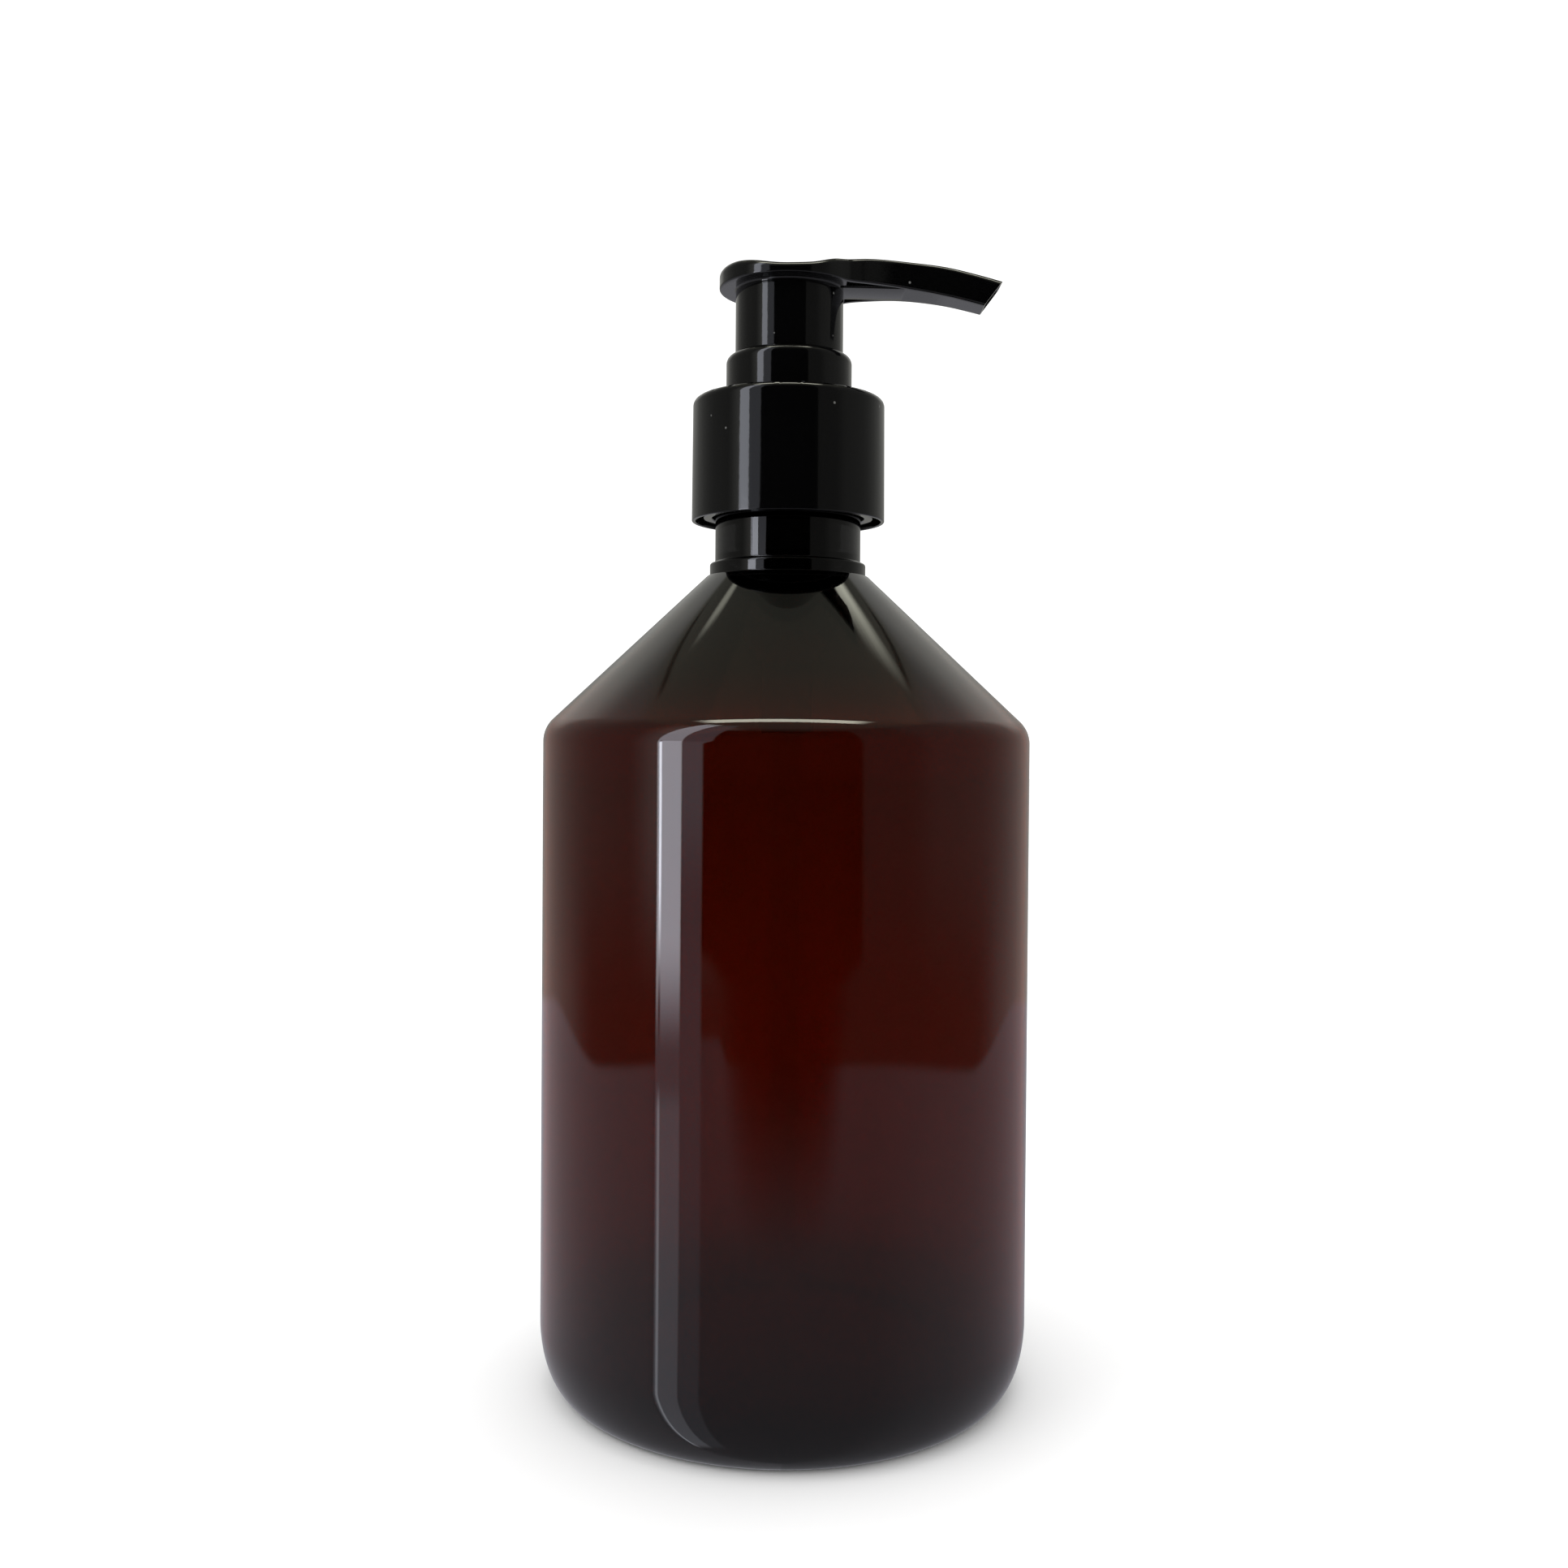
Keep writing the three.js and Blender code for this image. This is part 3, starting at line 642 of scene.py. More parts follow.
def closure_warp(x, y, z, angle):
    """Adds the thread inside the sleeve and the thin ribs between the sleeve and the outer shell."""
    rib_start, rib_stop = 0.4, 0.6
    radius = math.hypot(x, y)
    shell_in_r = COLLAR_R - COLLAR_SHELL
    if radius < SLEEVE_IN_R + 0.01 and SLEEVE_Z0 + 0.5 < z < COLLAR_PLATE_Z - 0.1:
        radius -= CLOSURE_THREAD_H * thread_bump(angle, z, THREAD_Z + THREAD_PITCH / 2)
    if shell_in_r - 0.1 < radius < shell_in_r + 0.01 and z > SLEEVE_Z0 + 0.6:
        turn = (angle * RIB_COUNT / (2 * math.pi)) % 1
        rib = 1 if rib_start < turn < rib_stop else 0
        radius -= rib * (shell_in_r - SLEEVE_OUT_R - 0.05)
    return radius * math.cos(angle), radius * math.sin(angle), z


def closure():
    shell_in_r = COLLAR_R - COLLAR_SHELL
    hole_r = TURRET_R + 0.25
    body = rounded([
        (SLEEVE_IN_R, SLEEVE_Z0, 0.25),
        (SLEEVE_OUT_R, SLEEVE_Z0, 0.25),
        (SLEEVE_OUT_R, COLLAR_PLATE_Z, 0.2),
        (shell_in_r, COLLAR_PLATE_Z, 0.2),
        (shell_in_r, SLEEVE_Z0 + 0.9),
        (shell_in_r, SLEEVE_Z0 + 0.5),
        (shell_in_r, COLLAR_Z0, 0.15),
        (COLLAR_R, COLLAR_Z0, 0.2),
        (COLLAR_TOP_R, COLLAR_Z1, 1.15),
        (hole_r, COLLAR_Z1, 0.2),
        (hole_r, COLLAR_PLATE_Z, 0.1),
        (SLEEVE_IN_R, COLLAR_PLATE_Z, 0.1),
    ])
    thread_rows = [(SLEEVE_IN_R, z) for z in heights(COLLAR_PLATE_Z - 0.4, SLEEVE_Z0 + 0.8, 0.25)]
    install(lathe("screw_collar", [*body, *thread_rows], CLOSURE_STEPS, closure_warp), "closure")


def gasket():
    inner_r = 8.4
    section = rounded([
        (inner_r, GASKET_Z0, 0.15),
        (GASKET_R, GASKET_Z0, 0.15),
        (GASKET_R, GASKET_Z1, 0.15),
        (inner_r, GASKET_Z1, 0.15),
    ])
    install(lathe("seal_ring", section, SMALL_STEPS), "gasket")


def lock_ring():
    guide_bore_r = STEM_R + 0.2
    guide_out_r = 5.2
    guide_top_z = 156
    floor_z = 152.6
    flange_top_z = 155.1
    section = rounded([
        (guide_bore_r, LOCK_Z0, 0.1),
        (LOCK_FLANGE_R, LOCK_Z0, 0.3),
        (LOCK_FLANGE_R, flange_top_z, 0.3),
        (TURRET_R, flange_top_z, 0.1),
        (TURRET_R, TURRET_TOP_Z, 1.3),
        (TURRET_BORE_R, TURRET_TOP_Z, 0.12),
        (TURRET_BORE_R, floor_z, 0.3),
        (guide_out_r, floor_z, 0.3),
        (guide_out_r, guide_top_z, 0.3),
        (guide_bore_r, guide_top_z, 0.3),
    ])
    install(lathe("lock_turret", section), "lock_ring")


closure()
gasket()
lock_ring()


# ---- Pump engine -----------------------------------------------------------------------------


def housing():
    bore_r = 6.3
    barrel_r = 8.2
    cylinder_r = 7.2
    barrel_z0 = 145
    flange_z0 = 150.6
    floor_z = 119.2
    chamber_r = 3
    chamber_out_r = 4.1
    seat_z = 113.2
    inlet_r = 1.4
    socket_top_z = 112
    socket_r = DIP_R + 0.05
    section = rounded([
        (socket_r, SOCKET_BOTTOM_Z, 0.2),
        (chamber_out_r, SOCKET_BOTTOM_Z, 0.4),
        (chamber_out_r, seat_z + 1, 1),
        (cylinder_r, floor_z - 1, 1),
        (cylinder_r, barrel_z0 - 1, 0.4),
        (barrel_r, barrel_z0, 0.4),
        (barrel_r, flange_z0, 0.2),
        (FLANGE_R, flange_z0, 0.2),
        (FLANGE_R, FLANGE_TOP_Z, 0.3),
        (bore_r, FLANGE_TOP_Z, 0.3),
        (bore_r, floor_z, 0.4),
        (chamber_r, floor_z, 0.3),
        (chamber_r, seat_z + chamber_r - inlet_r, 0.2),
        (inlet_r, seat_z, 0.2),
        (inlet_r, socket_top_z, 0.1),
        (socket_r, socket_top_z, 0.1),
    ])
    piece = lathe("pump_cylinder", section, SMALL_STEPS)
    vent_r = 0.7
    vent_z = 147.8
    vent_end = 10
    vent_steps = 24
    vent_section = [(0, -vent_end), (vent_r, -vent_end), (vent_r, vent_end), (0, vent_end)]
    vent = lathe("vent_cut", vent_section, vent_steps)
    for vertex in vent.data.vertices:
        x, y, z = vertex.co
        vertex.co = (x, z, y + vent_z * MM)
    install(boolean(piece, "DIFFERENCE", vent), "housing")


def dip_tube():
    bore_r = 1.85
    slant_top_z = DIP_Z0 + 8

    def slant(x, y, z, angle):
        return (x, y, z + x + DIP_R) if z < DIP_Z0 + 0.5 else (x, y, z)

    section = rounded([
        (bore_r, DIP_Z0),
        (DIP_R, DIP_Z0),
        (DIP_R, slant_top_z),
        (DIP_R, DIP_Z1, 0.15),
        (bore_r, DIP_Z1, 0.15),
        (bore_r, slant_top_z),
    ])
    install(lathe("suction_tube", section, TINY_STEPS, slant), "dip_tube", "clear_pe")


def inlet_ball():
    middle_z = (BALL_Z0 + BALL_Z1) / 2
    section = arc(0, middle_z, BALL_R, BALL_R, -90, 90, 32)
    section[0] = (0, BALL_Z0)
    section[-1] = (0, BALL_Z1)
    install(lathe("check_ball", section, TINY_STEPS), "inlet_ball")


def ball_cage():
    plate_top = CAGE_Z0 + 1.2
    bore_r = 1.9
    spigot_r = 3.9
    section = rounded([
        (bore_r, CAGE_Z0, 0.2),
        (CAGE_R, CAGE_Z0, 0.2),
        (CAGE_R, plate_top, 0.3),
        (spigot_r, plate_top, 0.2),
        (spigot_r, CAGE_Z1, 0.4),
        (bore_r, CAGE_Z1, 0.3),
    ])
    piece = lathe("ball_retainer", section, SMALL_STEPS)
    port_half_w = 0.7
    port_z0 = plate_top + 0.4
    ports = []
    for i in range(4):
        turn = i * math.pi / 2
        sides = (0.5, spigot_r + 1, -port_half_w, port_half_w, port_z0, CAGE_Z1 + 1)
        ports.append(box_piece(f"port_{i}", *sides, turn))
    install(boolean(piece, "DIFFERENCE", *ports), "ball_cage")


def wire_along(name, points, radius, sides):
    """A round wire along points, with flat ends."""
    loops = []
    for i, here in enumerate(points):
        ahead = (points[min(i + 1, len(points) - 1)] - points[max(i - 1, 0)]).normalized()
        across = Vector((here.x, here.y, 0)).normalized()
        up = ahead.cross(across).normalized()
        across = up.cross(ahead)
        loop = []
        for k in range(sides):
            a = 2 * math.pi * k / sides
            loop.append(tuple(here + across * (radius * math.cos(a)) + up * (radius * math.sin(a))))
        loops.append(loop)
    return loft(name, loops)


def spring():
    wire_r = 0.45
    coil_r = SPRING_OUT_R - wire_r
    turns = 7
    closed_rise = 2 * wire_r + 0.05
    low = SPRING_Z0 + wire_r
    high = SPRING_Z1 - wire_r
    steps_a_turn = 40
    steps = turns * steps_a_turn
    points = []
    for i in range(steps + 1):
        t = i / steps
        turn = t * turns
        opened = min(max((turn - 1) / (turns - 2), 0), 1)
        closed = min(turn, 1) + max(turn - turns + 1, 0)
        z = low + closed * closed_rise + opened * (high - low - 2 * closed_rise)
        a = 2 * math.pi * turn
        points.append(Vector((coil_r * math.cos(a), coil_r * math.sin(a), z)))
    wire_sides = 12
    piece = wire_along("return_spring", points, wire_r, wire_sides)
    install(piece, "spring")
    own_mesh(piece)


housing()
dip_tube()
inlet_ball()
ball_cage()
spring()


# ---- Plunger ---------------------------------------------------------------------------------


def stem():
    collar_z0 = 150.3
    collar_z1 = 151.6
    section = rounded([
        (STEM_BORE_R, STEM_Z0, 0.1),
        (STEM_R, STEM_Z0, 0.3),
        (STEM_R, collar_z0, 0.2),
        (STEM_COLLAR_R, collar_z0, 0.3),
        (STEM_COLLAR_R, collar_z1, 0.3),
        (STEM_R, collar_z1, 0.2),
        (STEM_R, STEM_Z1, 0.3),
        (STEM_BORE_R, STEM_Z1, 0.2),
    ])
    install(lathe("pump_stem", section, SMALL_STEPS), "stem")


def piston_rod():
    rod_r = 1.9
    spigot_r = 3.9
    cone_r = 4.4
    seat_z = 138.65
    seat_top = seat_z + 1
    cone_top = seat_top + 1
    section = rounded([
        (0, ROD_Z0),
        (spigot_r, ROD_Z0, 0.5),
        (spigot_r, seat_z, 0.2),
        (ROD_SEAT_R, seat_z, 0.3),
        (ROD_SEAT_R, seat_top, 0.3),
        (cone_r, seat_top, 0.1),
        (STEM_BORE_R + 0.6, cone_top, 0.2),
        (rod_r, cone_top, 0.1),
        (rod_r, ROD_Z1 - 1, 0.3),
        (rod_r - 0.7, ROD_Z1, 0.2),
        (0, ROD_Z1),
    ])
    piece = lathe("valve_rod", section, SMALL_STEPS)
    groove_half_w = 0.5
    groove_floor_r = 1
    grooves = []
    for i in range(4):
        turn = (i + 0.5) * math.pi / 2
        sides = (groove_floor_r, STEM_R, -groove_half_w, groove_half_w, cone_top + 0.2, ROD_Z1 + 1)
        grooves.append(box_piece(f"groove_{i}", *sides, turn))
    install(boolean(piece, "DIFFERENCE", *grooves), "piston_rod")


def piston():
    lip = 0.7
    web_z0 = 143.6
    web_z1 = 145.2
    hub_in_r = 3.3
    hub_out_r = 4.4
    lip_in_r = PISTON_R - lip
    section = rounded([
        (hub_in_r, PISTON_Z0, 0.1),
        (hub_out_r, PISTON_Z0, 0.3),
        (hub_out_r, web_z0, 0.3),
        (lip_in_r, web_z0, 0.3),
        (lip_in_r, PISTON_Z0 + 0.8, 0.1),
        (PISTON_R, PISTON_Z0 + 0.8, 0.15),
        (PISTON_R, PISTON_Z0 + 1.8, 0.3),
        (PISTON_R - 0.3, web_z0, 0.3),
        (PISTON_R - 0.3, web_z1, 0.3),
        (PISTON_R, PISTON_Z1 - 2.2, 0.3),
        (PISTON_R, PISTON_Z1 - 1.2, 0.15),
        (lip_in_r, PISTON_Z1 - 1.2, 0.1),
        (lip_in_r, web_z1, 0.3),
        (hub_out_r, web_z1, 0.3),
        (hub_out_r, PISTON_Z1, 0.3),
        (hub_in_r, PISTON_Z1, 0.1),
    ])
    install(lathe("piston_seal", section, SMALL_STEPS), "piston")


stem()
piston_rod()
piston()


# ---- Actuator: plate, spout and post ---------------------------------------------------------

TIP_TOP_X, TIP_TOP_Z = 34, 175.4
TIP_LOW_X, TIP_LOW_Z = 31, 171.4
TIP_X = (TIP_TOP_X + TIP_LOW_X) / 2
TIP_MID_Z = 173.4
TIP_LEAN = (TIP_TOP_X - TIP_LOW_X) / (TIP_TOP_Z - TIP_LOW_Z)
LEAN_START_X = 22
DISC_END_DEGREES = 42

# The head's top and underside heights, and its half width, along X
top_z = spline([
    (-12, 177.2), (-9.2, 177.1), (-7.1, 176.8), (-2.75, 175.95), (0, 175.78), (4, 176.12), (8, 177.3),
    (11.5, 177.92), (15, 178.1), (20.6, 177.95), (25, 177.53), (29.4, 176.6), (34, 175.4), (36, 174.8),
])
bottom_z = spline([
    (-12, PLATE_Z), (8, PLATE_Z), (12.5, PLATE_Z), (18, 173.8), (25, 172.8), (31, 171.4), (34, 170.6),
])
flank_y = spline([
    (8.4, 7.56), (9.6, 6.6), (12.3, 5.7), (15, 4.9), (17.5, 4.25), (20, 3.75), (25, 3.25), (31, 3.1),
    (36, 3.08),
])
top_fillet = spline([(-12, 1.15), (2, 1.0), (10, 0.8), (16, 0.7), (24, 0.9), (34, 1.1)])
bottom_fillet = spline([(-12, 0.3), (8, 0.25), (20, 0.3), (34, 0.35)])


def plan_stations():
    """Points down one side of the plan outline, each with its outward normal."""
    stations = []
    disc_steps = 44
    for i in range(disc_steps + 1):
        share = i / disc_steps
        a = math.radians(180 + (DISC_END_DEGREES - 180) * share)
        stations.append((PLATE_R * math.cos(a), PLATE_R * math.sin(a), math.cos(a), math.sin(a)))
    x = stations[-1][0]
    flank_steps = 60
    probe = 0.05
    for i in range(1, flank_steps + 1):
        here = x + (TIP_X - x) * i / flank_steps
        slope = (flank_y(here + probe) - flank_y(here - probe)) / (2 * probe)
        size = math.hypot(1, slope)
        stations.append((here, flank_y(here), -slope / size, 1 / size))
    return stations


def leaned(x, height):
    """Moves a point along X so the last sections lean like the cut at the spout's tip."""
    lean = TIP_LEAN * smoothstep(LEAN_START_X, TIP_X, x)
    return x + lean * (height - TIP_MID_Z)


def on_surface(x, surface):
    """The leaned x and the height where a section at x meets the top or bottom surface."""
    moved = x
    for _ in range(6):
        moved = leaned(x, surface(moved))
    return moved, surface(moved)


def half_section(x, y, nx, ny):
    """Points up one side of a section: bottom fillet, wall, top fillet."""
    _, low = on_surface(x, bottom_z)
    _, high = on_surface(x, top_z)
    round_low = min(bottom_fillet(x), (high - low) * 0.3)
    round_high = min(top_fillet(x), (high - low) * 0.6)
    low_steps = 4
    high_steps = 8
    points = []
    for k in range(low_steps + 1):
        a = math.radians(90 * k / low_steps)
        inset = round_low * (1 - math.sin(a))
        points.append((inset, low + round_low * (1 - math.cos(a))))
    for share in (0.06, 0.5, 0.94):
        points.append((0, low + round_low + (high - low - round_low - round_high) * share))
    for k in range(high_steps + 1):
        a = math.radians(90 * k / high_steps)
        inset = round_high * (1 - math.cos(a))
        points.append((inset, high - round_high * (1 - math.sin(a))))
    half = []
    for inset, z in points:
        px = x - nx * inset
        py = max(y - ny * inset, 0)
        half.append((leaned(px, z), py, z))
    return half


def head_loops():
    columns = 10
    loops = []
    for station in plan_stations():
        half = half_section(*station)
        loop = []
        low_x, low_y, _ = half[0]
        for k in range(1, columns):
            y = low_y * (2 * k / columns - 1)
            loop.append((low_x, y, half[0][2]))
        loop.extend(half)
        high_x, high_y, _ = half[-1]
        for k in range(1, columns):
            y = high_y * (1 - 2 * k / columns)
            loop.append((high_x, y, half[-1][2]))
        loop.extend((x, -y, z) for x, y, z in reversed(half))
        loops.append(loop)
    return loops


def mouth_loops(rim):
    """The rim and the hollow inside the spout's mouth, from the last outside loop."""
    centre = Vector((TIP_X, 0, TIP_MID_Z))
    inward = Vector((-1, 0, 0.25)).normalized()
    bore_r = 1.15
    wall_share = 0.80
    steps = [(0.97, 0, 0), (wall_share + 0.02, 0, 0), (wall_share, 0.12, 0), (wall_share - 0.03, 1.5, 0),
             (wall_share - 0.10, 4, 0.3), (0, 7, 1), (0, 12, 1)]
    loops = []
    for share, depth, roundness in steps:
        loop = []
        for point in rim:
            off = Vector(point) - centre
            flat = Vector((off.x * share, off.y * share, off.z * share))
            ring = Vector((0, off.y, off.z)).normalized() * bore_r
            loop.append(tuple(centre + flat.lerp(ring, roundness) + inward * depth))
        loops.append(loop)
    return loops


def duct():
    """The square outlet duct under the plate, between the post and the spout's solid end."""
    half_w = 3.6
    start_x = 7.5
    end_x = 18.9
    level_x = 9
    meet_x = 18.5
    inside_z = 175.6
    edge = 0.4
    steps = 12
    loops = []
    for i in range(steps + 1):
        x = start_x + (end_x - start_x) * i / steps
        low = DUCT_Z0 + (bottom_z(meet_x) - DUCT_Z0) * smoothstep(level_x, meet_x, x)
        outline = rounded([
            (-half_w, low, edge),
            (half_w, low, edge),
            (half_w, inside_z),
            (-half_w, inside_z),
        ])
        loops.append([(x, y, z) for y, z in outline])
    return loft("outlet_duct", loops)


def pocket(side):
    """The narrow hollow between the duct and the plate's side wall, as a cutter."""
    wall = 0.9
    duct_half_w = 3.62
    roof_z = 176.2
    floor_z = 172
    start_x = 8.95
    step = 0.57
    count = 18
    xs = [start_x + step * k for k in range(count)]
    inner = [(x, duct_half_w) for x in xs]
    outer = [(x, max(flank_y(x) - wall, duct_half_w + 0.01)) for x in reversed(xs)]
    outline = [(x, side * y) for x, y in [*inner, *outer]]
    return loft(f"pocket_{side}", [[(x, y, z) for x, y in outline] for z in (floor_z, roof_z)])


def post():
    """The hollow post under the plate, with the stem's socket inside."""
    socket_r = 3.28
    socket_out_r = 4.6
    socket_z0 = 166
    socket_top_z = 173.4
    roof_z = PLATE_Z - 0.35
    flare_r = POST_R + 0.22
    flare_z0 = PLATE_Z + 0.05
    flare_z1 = PLATE_Z + 0.45
    section = rounded([
        (0, socket_top_z),
        (socket_r, socket_top_z, 0.1),
        (socket_r, socket_z0, 0.2),
        (socket_out_r, socket_z0, 0.2),
        (socket_out_r, roof_z, 0.3),
        (POST_BORE_R, roof_z, 0.3),
        (POST_BORE_R, POST_Z0, 0.15),
        (POST_R, POST_Z0, 0.2),
        (POST_R, PLATE_Z - 0.2, 0.25),
        (flare_r, flare_z0),
        (flare_r, flare_z1),
        (0, flare_z1),
    ])
    return lathe("post", section)


def actuator():
    loops = head_loops()
    loops.extend(mouth_loops(loops[-1]))
    head = loft("press_head", loops, cap_start=False)
    boolean(head, "DIFFERENCE", pocket(1), pocket(-1))
    boolean(head, "UNION", duct(), post())
    install(head, "actuator")


actuator()


# ---- Floor, light and camera -----------------------------------------------------------------


def floor():
    """The plain floor, just under the bottle's standing ring."""
    reach = 3000
    z = -0.05
    verts = [(-reach, -reach, z), (reach, -reach, z), (reach, reach, z), (-reach, reach, z)]
    mesh = bpy.data.meshes.new("studio_floor")
    mesh.from_pydata([(x * MM, y * MM, z * MM) for x, y, z in verts], [], [(0, 1, 2, 3)])
    piece = bpy.data.objects.new("studio_floor", mesh)
    bpy.context.scene.collection.objects.link(piece)
    mesh.materials.append(studio_floor_white())
    piece.visible_glossy = False


class Studio:
    """The room as the glossy surfaces see it: a direction gives a brightness and a tint.
    Directions are azimuths and elevations in degrees, azimuth 0 being the camera's side of the room
    and azimuth 90 the picture's right; side is the azimuth without its sign."""

    def __init__(self):
        self.world = bpy.data.worlds.new("studio")
        bpy.context.scene.world = self.world
        self.world.use_nodes = True
        self.nodes = self.world.node_tree.nodes
        self.links = self.world.node_tree.links
        coords = self.nodes.new("ShaderNodeTexCoord")
        split = self.nodes.new("ShaderNodeSeparateXYZ")
        self.links.new(coords.outputs["Generated"], split.inputs["Vector"])
        x, y, z = split.outputs["X"], split.outputs["Y"], split.outputs["Z"]
        front = self.math("MULTIPLY", y, -1)
        self.front = front
        self.across = x
        self.azimuth = self.math("MULTIPLY", self.math("ARCTAN2", x, front), 180 / math.pi)
        self.side = self.math("ABSOLUTE", self.azimuth)
        self.elevation = self.math("MULTIPLY", self.math("ARCSINE", z), 180 / math.pi)

    def math(self, operation, a, b=None):
        node = self.nodes.new("ShaderNodeMath")
        node.operation = operation
        for socket, value in zip(node.inputs, (a, b)):
            if value is None:
                continue
            if isinstance(value, (int, float)):
                socket.default_value = value
            else:
                self.links.new(value, socket)
        return node.outputs["Value"]

    def product(self, first, *others):
        for other in others:
            first = self.math("MULTIPLY", first, other)
        return first

    def rise(self, value, low, high):
        """0 up to low, 1 from high on, and the other way round where high is the lower one."""
        node = self.nodes.new("ShaderNodeMapRange")
        node.interpolation_type = "SMOOTHSTEP"
        node.inputs["From Min"].default_value = low
        node.inputs["From Max"].default_value = high
        self.links.new(value, node.inputs["Value"])
        return node.outputs["Result"]

    def band(self, value, low, high, soft):
        """1 between low and high, with soft edges."""
        up = self.rise(value, low - soft, low + soft)
        down = self.rise(value, high + soft, high - soft)
        return self.math("MULTIPLY", up, down)

    def patch(self, azimuths, elevations, soft_az, soft_el):
        """1 inside a rectangle of directions, with soft edges."""
        across = self.band(self.azimuth, *azimuths, soft_az)
        upright = self.band(self.elevation, *elevations, soft_el)
        return self.math("MULTIPLY", across, upright)

    def mixed(self, base, mask, value):
        """base where the mask is 0, value where it is 1."""
        node = self.nodes.new("ShaderNodeMix")
        self.links.new(mask, node.inputs["Factor"])
        for socket, item in ((node.inputs["A"], base), (node.inputs["B"], value)):
            if isinstance(item, (int, float)):
                socket.default_value = item
            else:
                self.links.new(item, socket)
        return node.outputs["Result"]

    def tinted(self, base, mask, colour):
        """The same for colours."""
        node = self.nodes.new("ShaderNodeMix")
        node.data_type = "RGBA"
        self.links.new(mask, node.inputs["Factor"])
        for socket, item in ((node.inputs["A"], base), (node.inputs["B"], colour)):
            if isinstance(item, tuple):
                socket.default_value = (*item, 1)
            else:
                self.links.new(item, socket)
        return node.outputs["Result"]


def room(s):
    """Walls, ceiling and table: their brightness, and masks of the ceiling and the table."""
    az, el, side = s.azimuth, s.elevation, s.side
    walls = s.mixed(0.10, s.rise(side, 56, 74), 0.165)
    walls = s.mixed(walls, s.rise(side, 95, 150), 0.30)
    window_spill = s.patch((-66, -30), (-13, 60), 11, 4)
    walls = s.mixed(walls, window_spill, 0.65)
    low_shade = s.product(s.rise(el, -3, -11), s.rise(side, 118, 96))
    walls = s.mixed(walls, low_shade, 0.06)
    back_wall = s.product(s.rise(side, 134, 147), s.rise(el, 8, 20))
    walls = s.mixed(walls, back_wall, 0.56)

    ceiling_rise = s.math("MULTIPLY", s.rise(side, 142, 124), 8)
    ceiling_el = s.math("SUBTRACT", el, ceiling_rise)
    ceiling = s.rise(ceiling_el, 42.3, 46.3)
    light = s.mixed(walls, ceiling, 0.20)

    table_tone = s.mixed(0.29, s.rise(side, 35, 75), 0.37)
    table_tone = s.mixed(table_tone, s.rise(az, -58, -64), 0.46)
    table_rise = s.math("MULTIPLY", s.rise(side, 92, 137), 2.5)
    table_rise = s.math("ADD", table_rise, s.band(az, -50, -27, 3))
    table = s.rise(s.math("SUBTRACT", el, table_rise), -12.2, -12.7)
    light = s.mixed(light, table, table_tone)

    ceiling_edge = s.product(s.band(side, 129, 140, 1.5), s.band(ceiling_el, 45.4, 46.4, 0.4))
    return s.mixed(light, ceiling_edge, 0.06), ceiling, table


def window_pane(s, light, leaning_az):
    """The dimmer pane on the left of the camera, and its mask."""
    az, el = s.azimuth, s.elevation
    pane = s.product(s.rise(az, -48.2, -47), s.rise(leaning_az, -36.6, -38.2), s.band(el, -60, 60, 3))
    tone = s.mixed(0.5, s.rise(el, -7, -2), 0.92)
    tone = s.mixed(tone, s.rise(el, 5, 9), 0.68)
    return s.mixed(light, pane, tone), pane


def dark_side(s, light, leaning_az):
    """The dark camera side of the room: an upright block that ends in a soft bowl below."""
    az, el = s.azimuth, s.elevation
    corner = s.math("MULTIPLY", s.rise(s.side, 20, 38), 1.4)
    block = s.product(
        s.rise(leaning_az, -38.2, -36.6),
        s.rise(az, 36.2, 33.2),
        s.rise(s.math("SUBTRACT", el, corner), -10.4, -9.4),
        s.rise(el, 48, 42),
    )
    bowl_half_width = 27
    bowl_depth = 11
    bowl_centre_el = -6
    across = s.math("DIVIDE", s.side, bowl_half_width)
    down = s.math("DIVIDE", s.math("SUBTRACT", el, bowl_centre_el), bowl_depth)
    bowl = s.rise(s.math("ADD", s.math("POWER", across, 4), s.math("POWER", down, 2)), 1.6, 0.25)
    return s.mixed(light, s.math("MAXIMUM", block, bowl), 0.0)


def window_strip(s, light):
    """The tall bright strip left of the pane, with a narrow line brighter still, and its mask."""
    el = s.elevation
    strip = s.patch((-59.9, -47.6), (-60, 60), 0.5, 3)
    tone = s.mixed(0.7, s.rise(el, -12.2, -7.5), 6.3)
    tone = s.mixed(tone, s.rise(el, -13, -14.2), 1.15)
    tone = s.mixed(tone, s.rise(el, 6.8, 9.5), 4.0)
    light = s.mixed(light, strip, tone)
    line = s.patch((-58.9, -57.7), (-60, 60), 0.4, 3)
    tone = s.mixed(0.7, s.product(s.rise(el, -10.5, -5), s.rise(el, 7, 4)), 20)
    tone = s.mixed(tone, s.rise(el, -13, -14.2), 3.2)
    tone = s.mixed(tone, s.rise(el, 6.8, 9.5), 4.0)
    return s.mixed(light, line, tone), strip


def high_lights(s, light, ray_depth):
    """The lamp overhead, seen in first reflections only, and two small lights high on the back wall."""
    az, el = s.azimuth, s.elevation
    lamp = s.product(
        s.band(s.front, -0.025, 0.17, 0.012),
        s.band(s.across, -0.38, 0.36, 0.06),
        s.rise(el, 55, 60),
        s.rise(ray_depth, 2.6, 2.4),
    )
    light = s.mixed(light, lamp, 6.5)
    right = s.product(s.band(az, 127, 139, 1.5), s.rise(el, 61, 59.5), s.rise(el, 50.5, 56))
    light = s.mixed(light, right, s.mixed(0.2, s.rise(az, 127.5, 136), 3.4))
    left = s.patch((-137, -132.5), (54, 57.6), 1.3, 1.2)
    return s.mixed(light, left, 1.5)


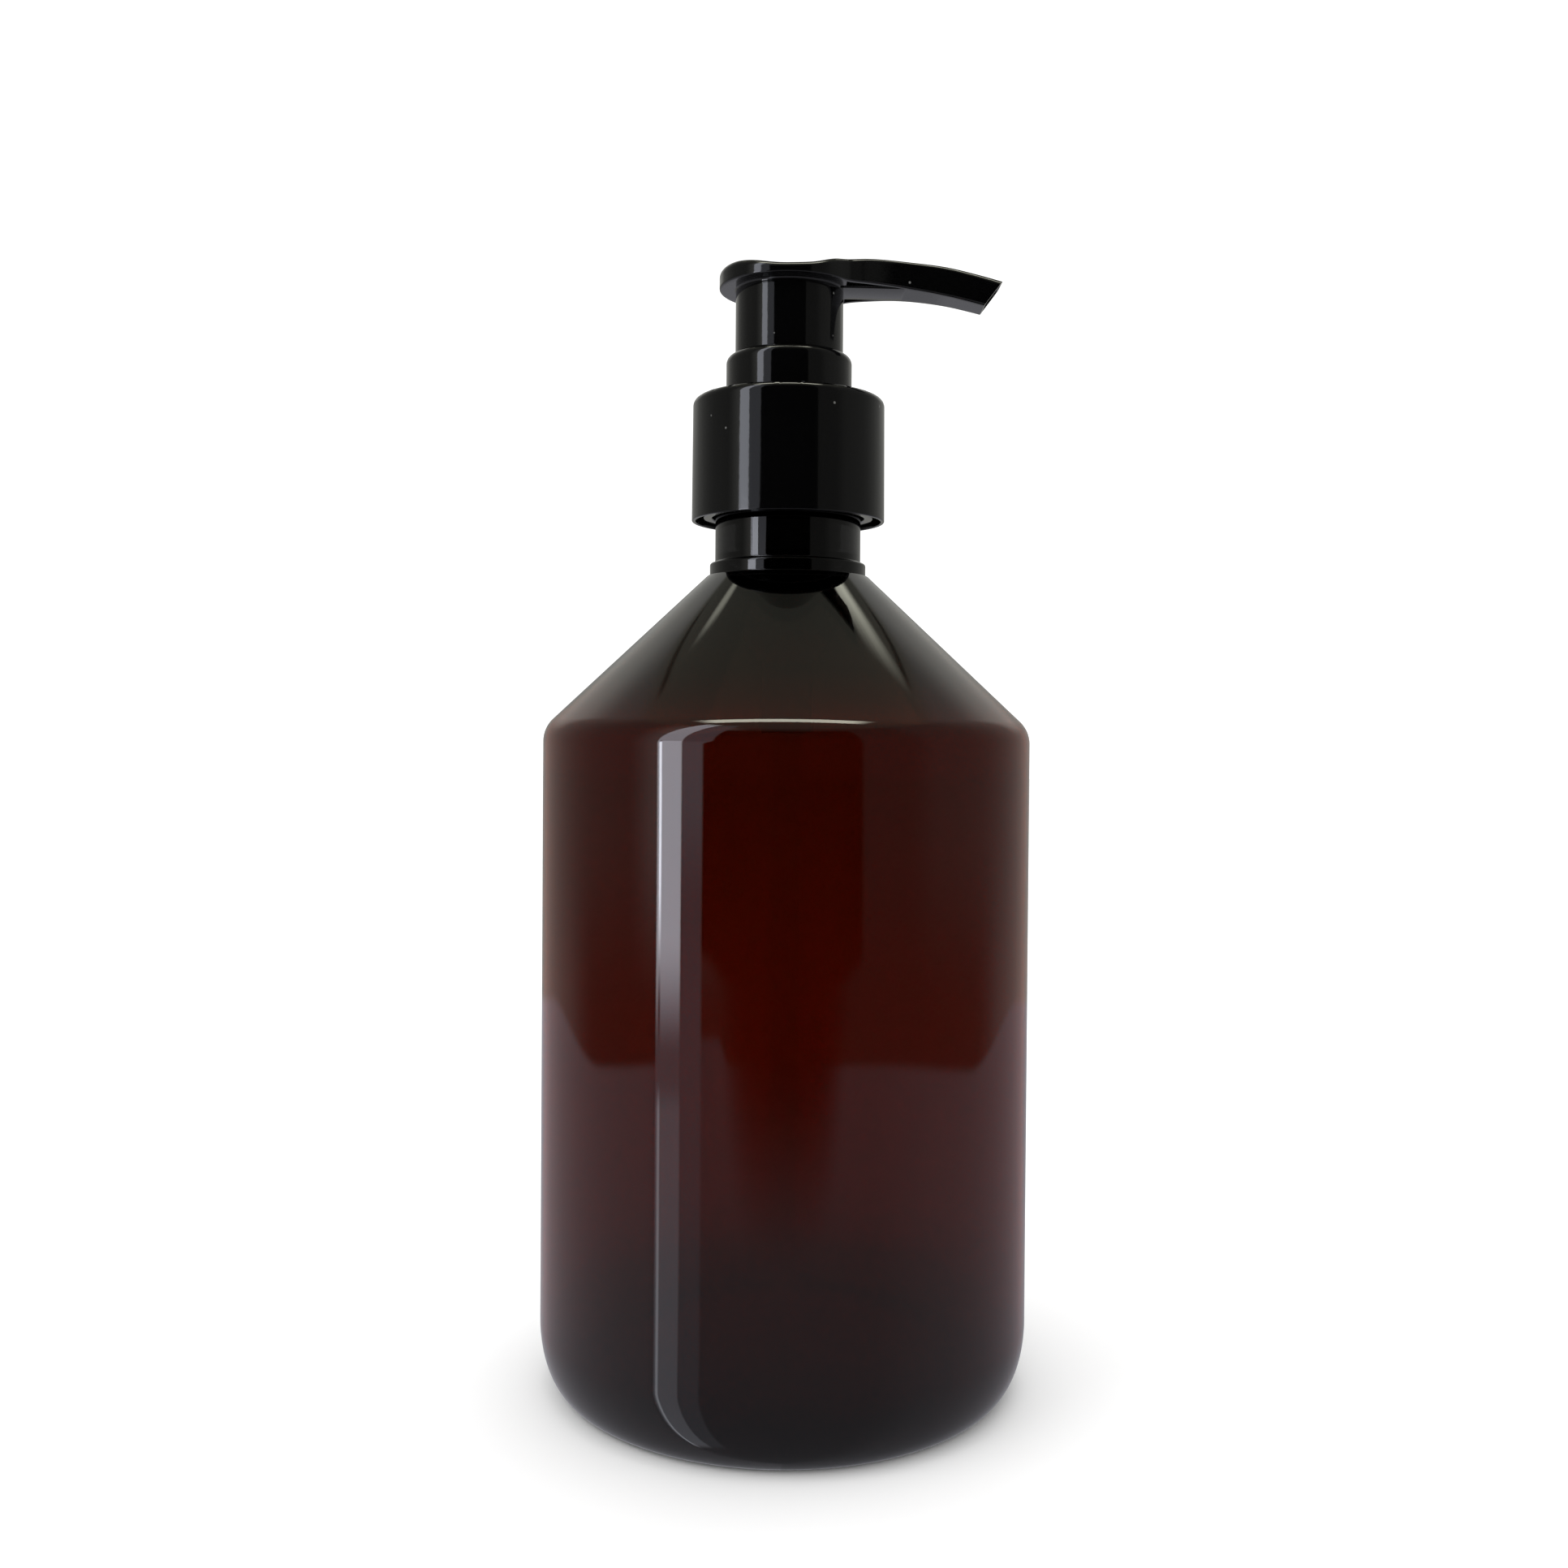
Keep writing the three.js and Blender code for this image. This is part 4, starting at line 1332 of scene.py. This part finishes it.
def studio_light():
    """Lights everything evenly, but shows the painted room to rays that a surface reflects."""
    s = Studio()
    path = s.nodes.new("ShaderNodeLightPath")
    light, ceiling, table = room(s)
    pane_lean = s.math("MULTIPLY", s.rise(s.elevation, 1, 11), 4.3)
    leaning_az = s.math("SUBTRACT", s.azimuth, pane_lean)
    light, pane = window_pane(s, light, leaning_az)
    light = dark_side(s, light, leaning_az)
    light, strip = window_strip(s, light)
    light = high_lights(s, light, path.outputs["Ray Depth"])

    tint = s.tinted((1.06, 1.06, 1.0), ceiling, (1.20, 1.20, 1.0))
    tint = s.tinted(tint, table, (0.92, 0.92, 1.0))
    tint = s.tinted(tint, s.math("MAXIMUM", pane, strip), (0.87, 0.90, 1.0))
    even_light = 1.25
    white = (1.0, 1.0, 1.0)
    reflected = s.math("SUBTRACT", path.outputs["Is Glossy Ray"], path.outputs["Is Transmission Ray"])
    background = s.nodes["Background"]
    s.links.new(s.mixed(even_light, reflected, light), background.inputs["Strength"])
    s.links.new(s.tinted(white, reflected, tint), background.inputs["Color"])


def softbox(name, location, size, power):
    """A rectangular lamp that faces the origin and that no gloss shows. Metres and watts."""
    data = bpy.data.lights.new(name, "AREA")
    data.shape = "RECTANGLE"
    data.size, data.size_y = size
    data.energy = power
    lamp = bpy.data.objects.new(name, data)
    lamp.location = location
    lamp.rotation_euler = (-Vector(location)).to_track_quat("-Z", "Y").to_euler()
    lamp.visible_glossy = False
    bpy.context.scene.collection.objects.link(lamp)


def camera():
    """The photograph's view: close by, at the height of the cone's foot, with the spout to the right."""
    distance_m = 0.2484
    height_m = 0.1039
    aside_m = -0.0004
    sensor_mm = 36
    focal_mm = 35.275
    upward_shift = -0.0220
    pitch = math.radians(0.8)
    roll = math.radians(0.42)
    data = bpy.data.cameras.new("photo_view")
    data.sensor_width = sensor_mm
    data.lens = focal_mm
    data.shift_y = upward_shift
    data.clip_start = 0.01
    data.clip_end = 20
    item = bpy.data.objects.new("photo_view", data)
    item.location = (aside_m, -distance_m, height_m)
    item.rotation_euler = (math.radians(90) - pitch, -roll, 0)
    bpy.context.scene.collection.objects.link(item)
    bpy.context.scene.camera = item


floor()
studio_light()
softbox("key", (-0.9, -0.5, 1.2), (0.8, 0.8), 4)
softbox("top", (0.2, 0.3, 1.6), (1.2, 1.2), 5)
camera()
bpy.context.scene.view_settings.view_transform = "Standard"
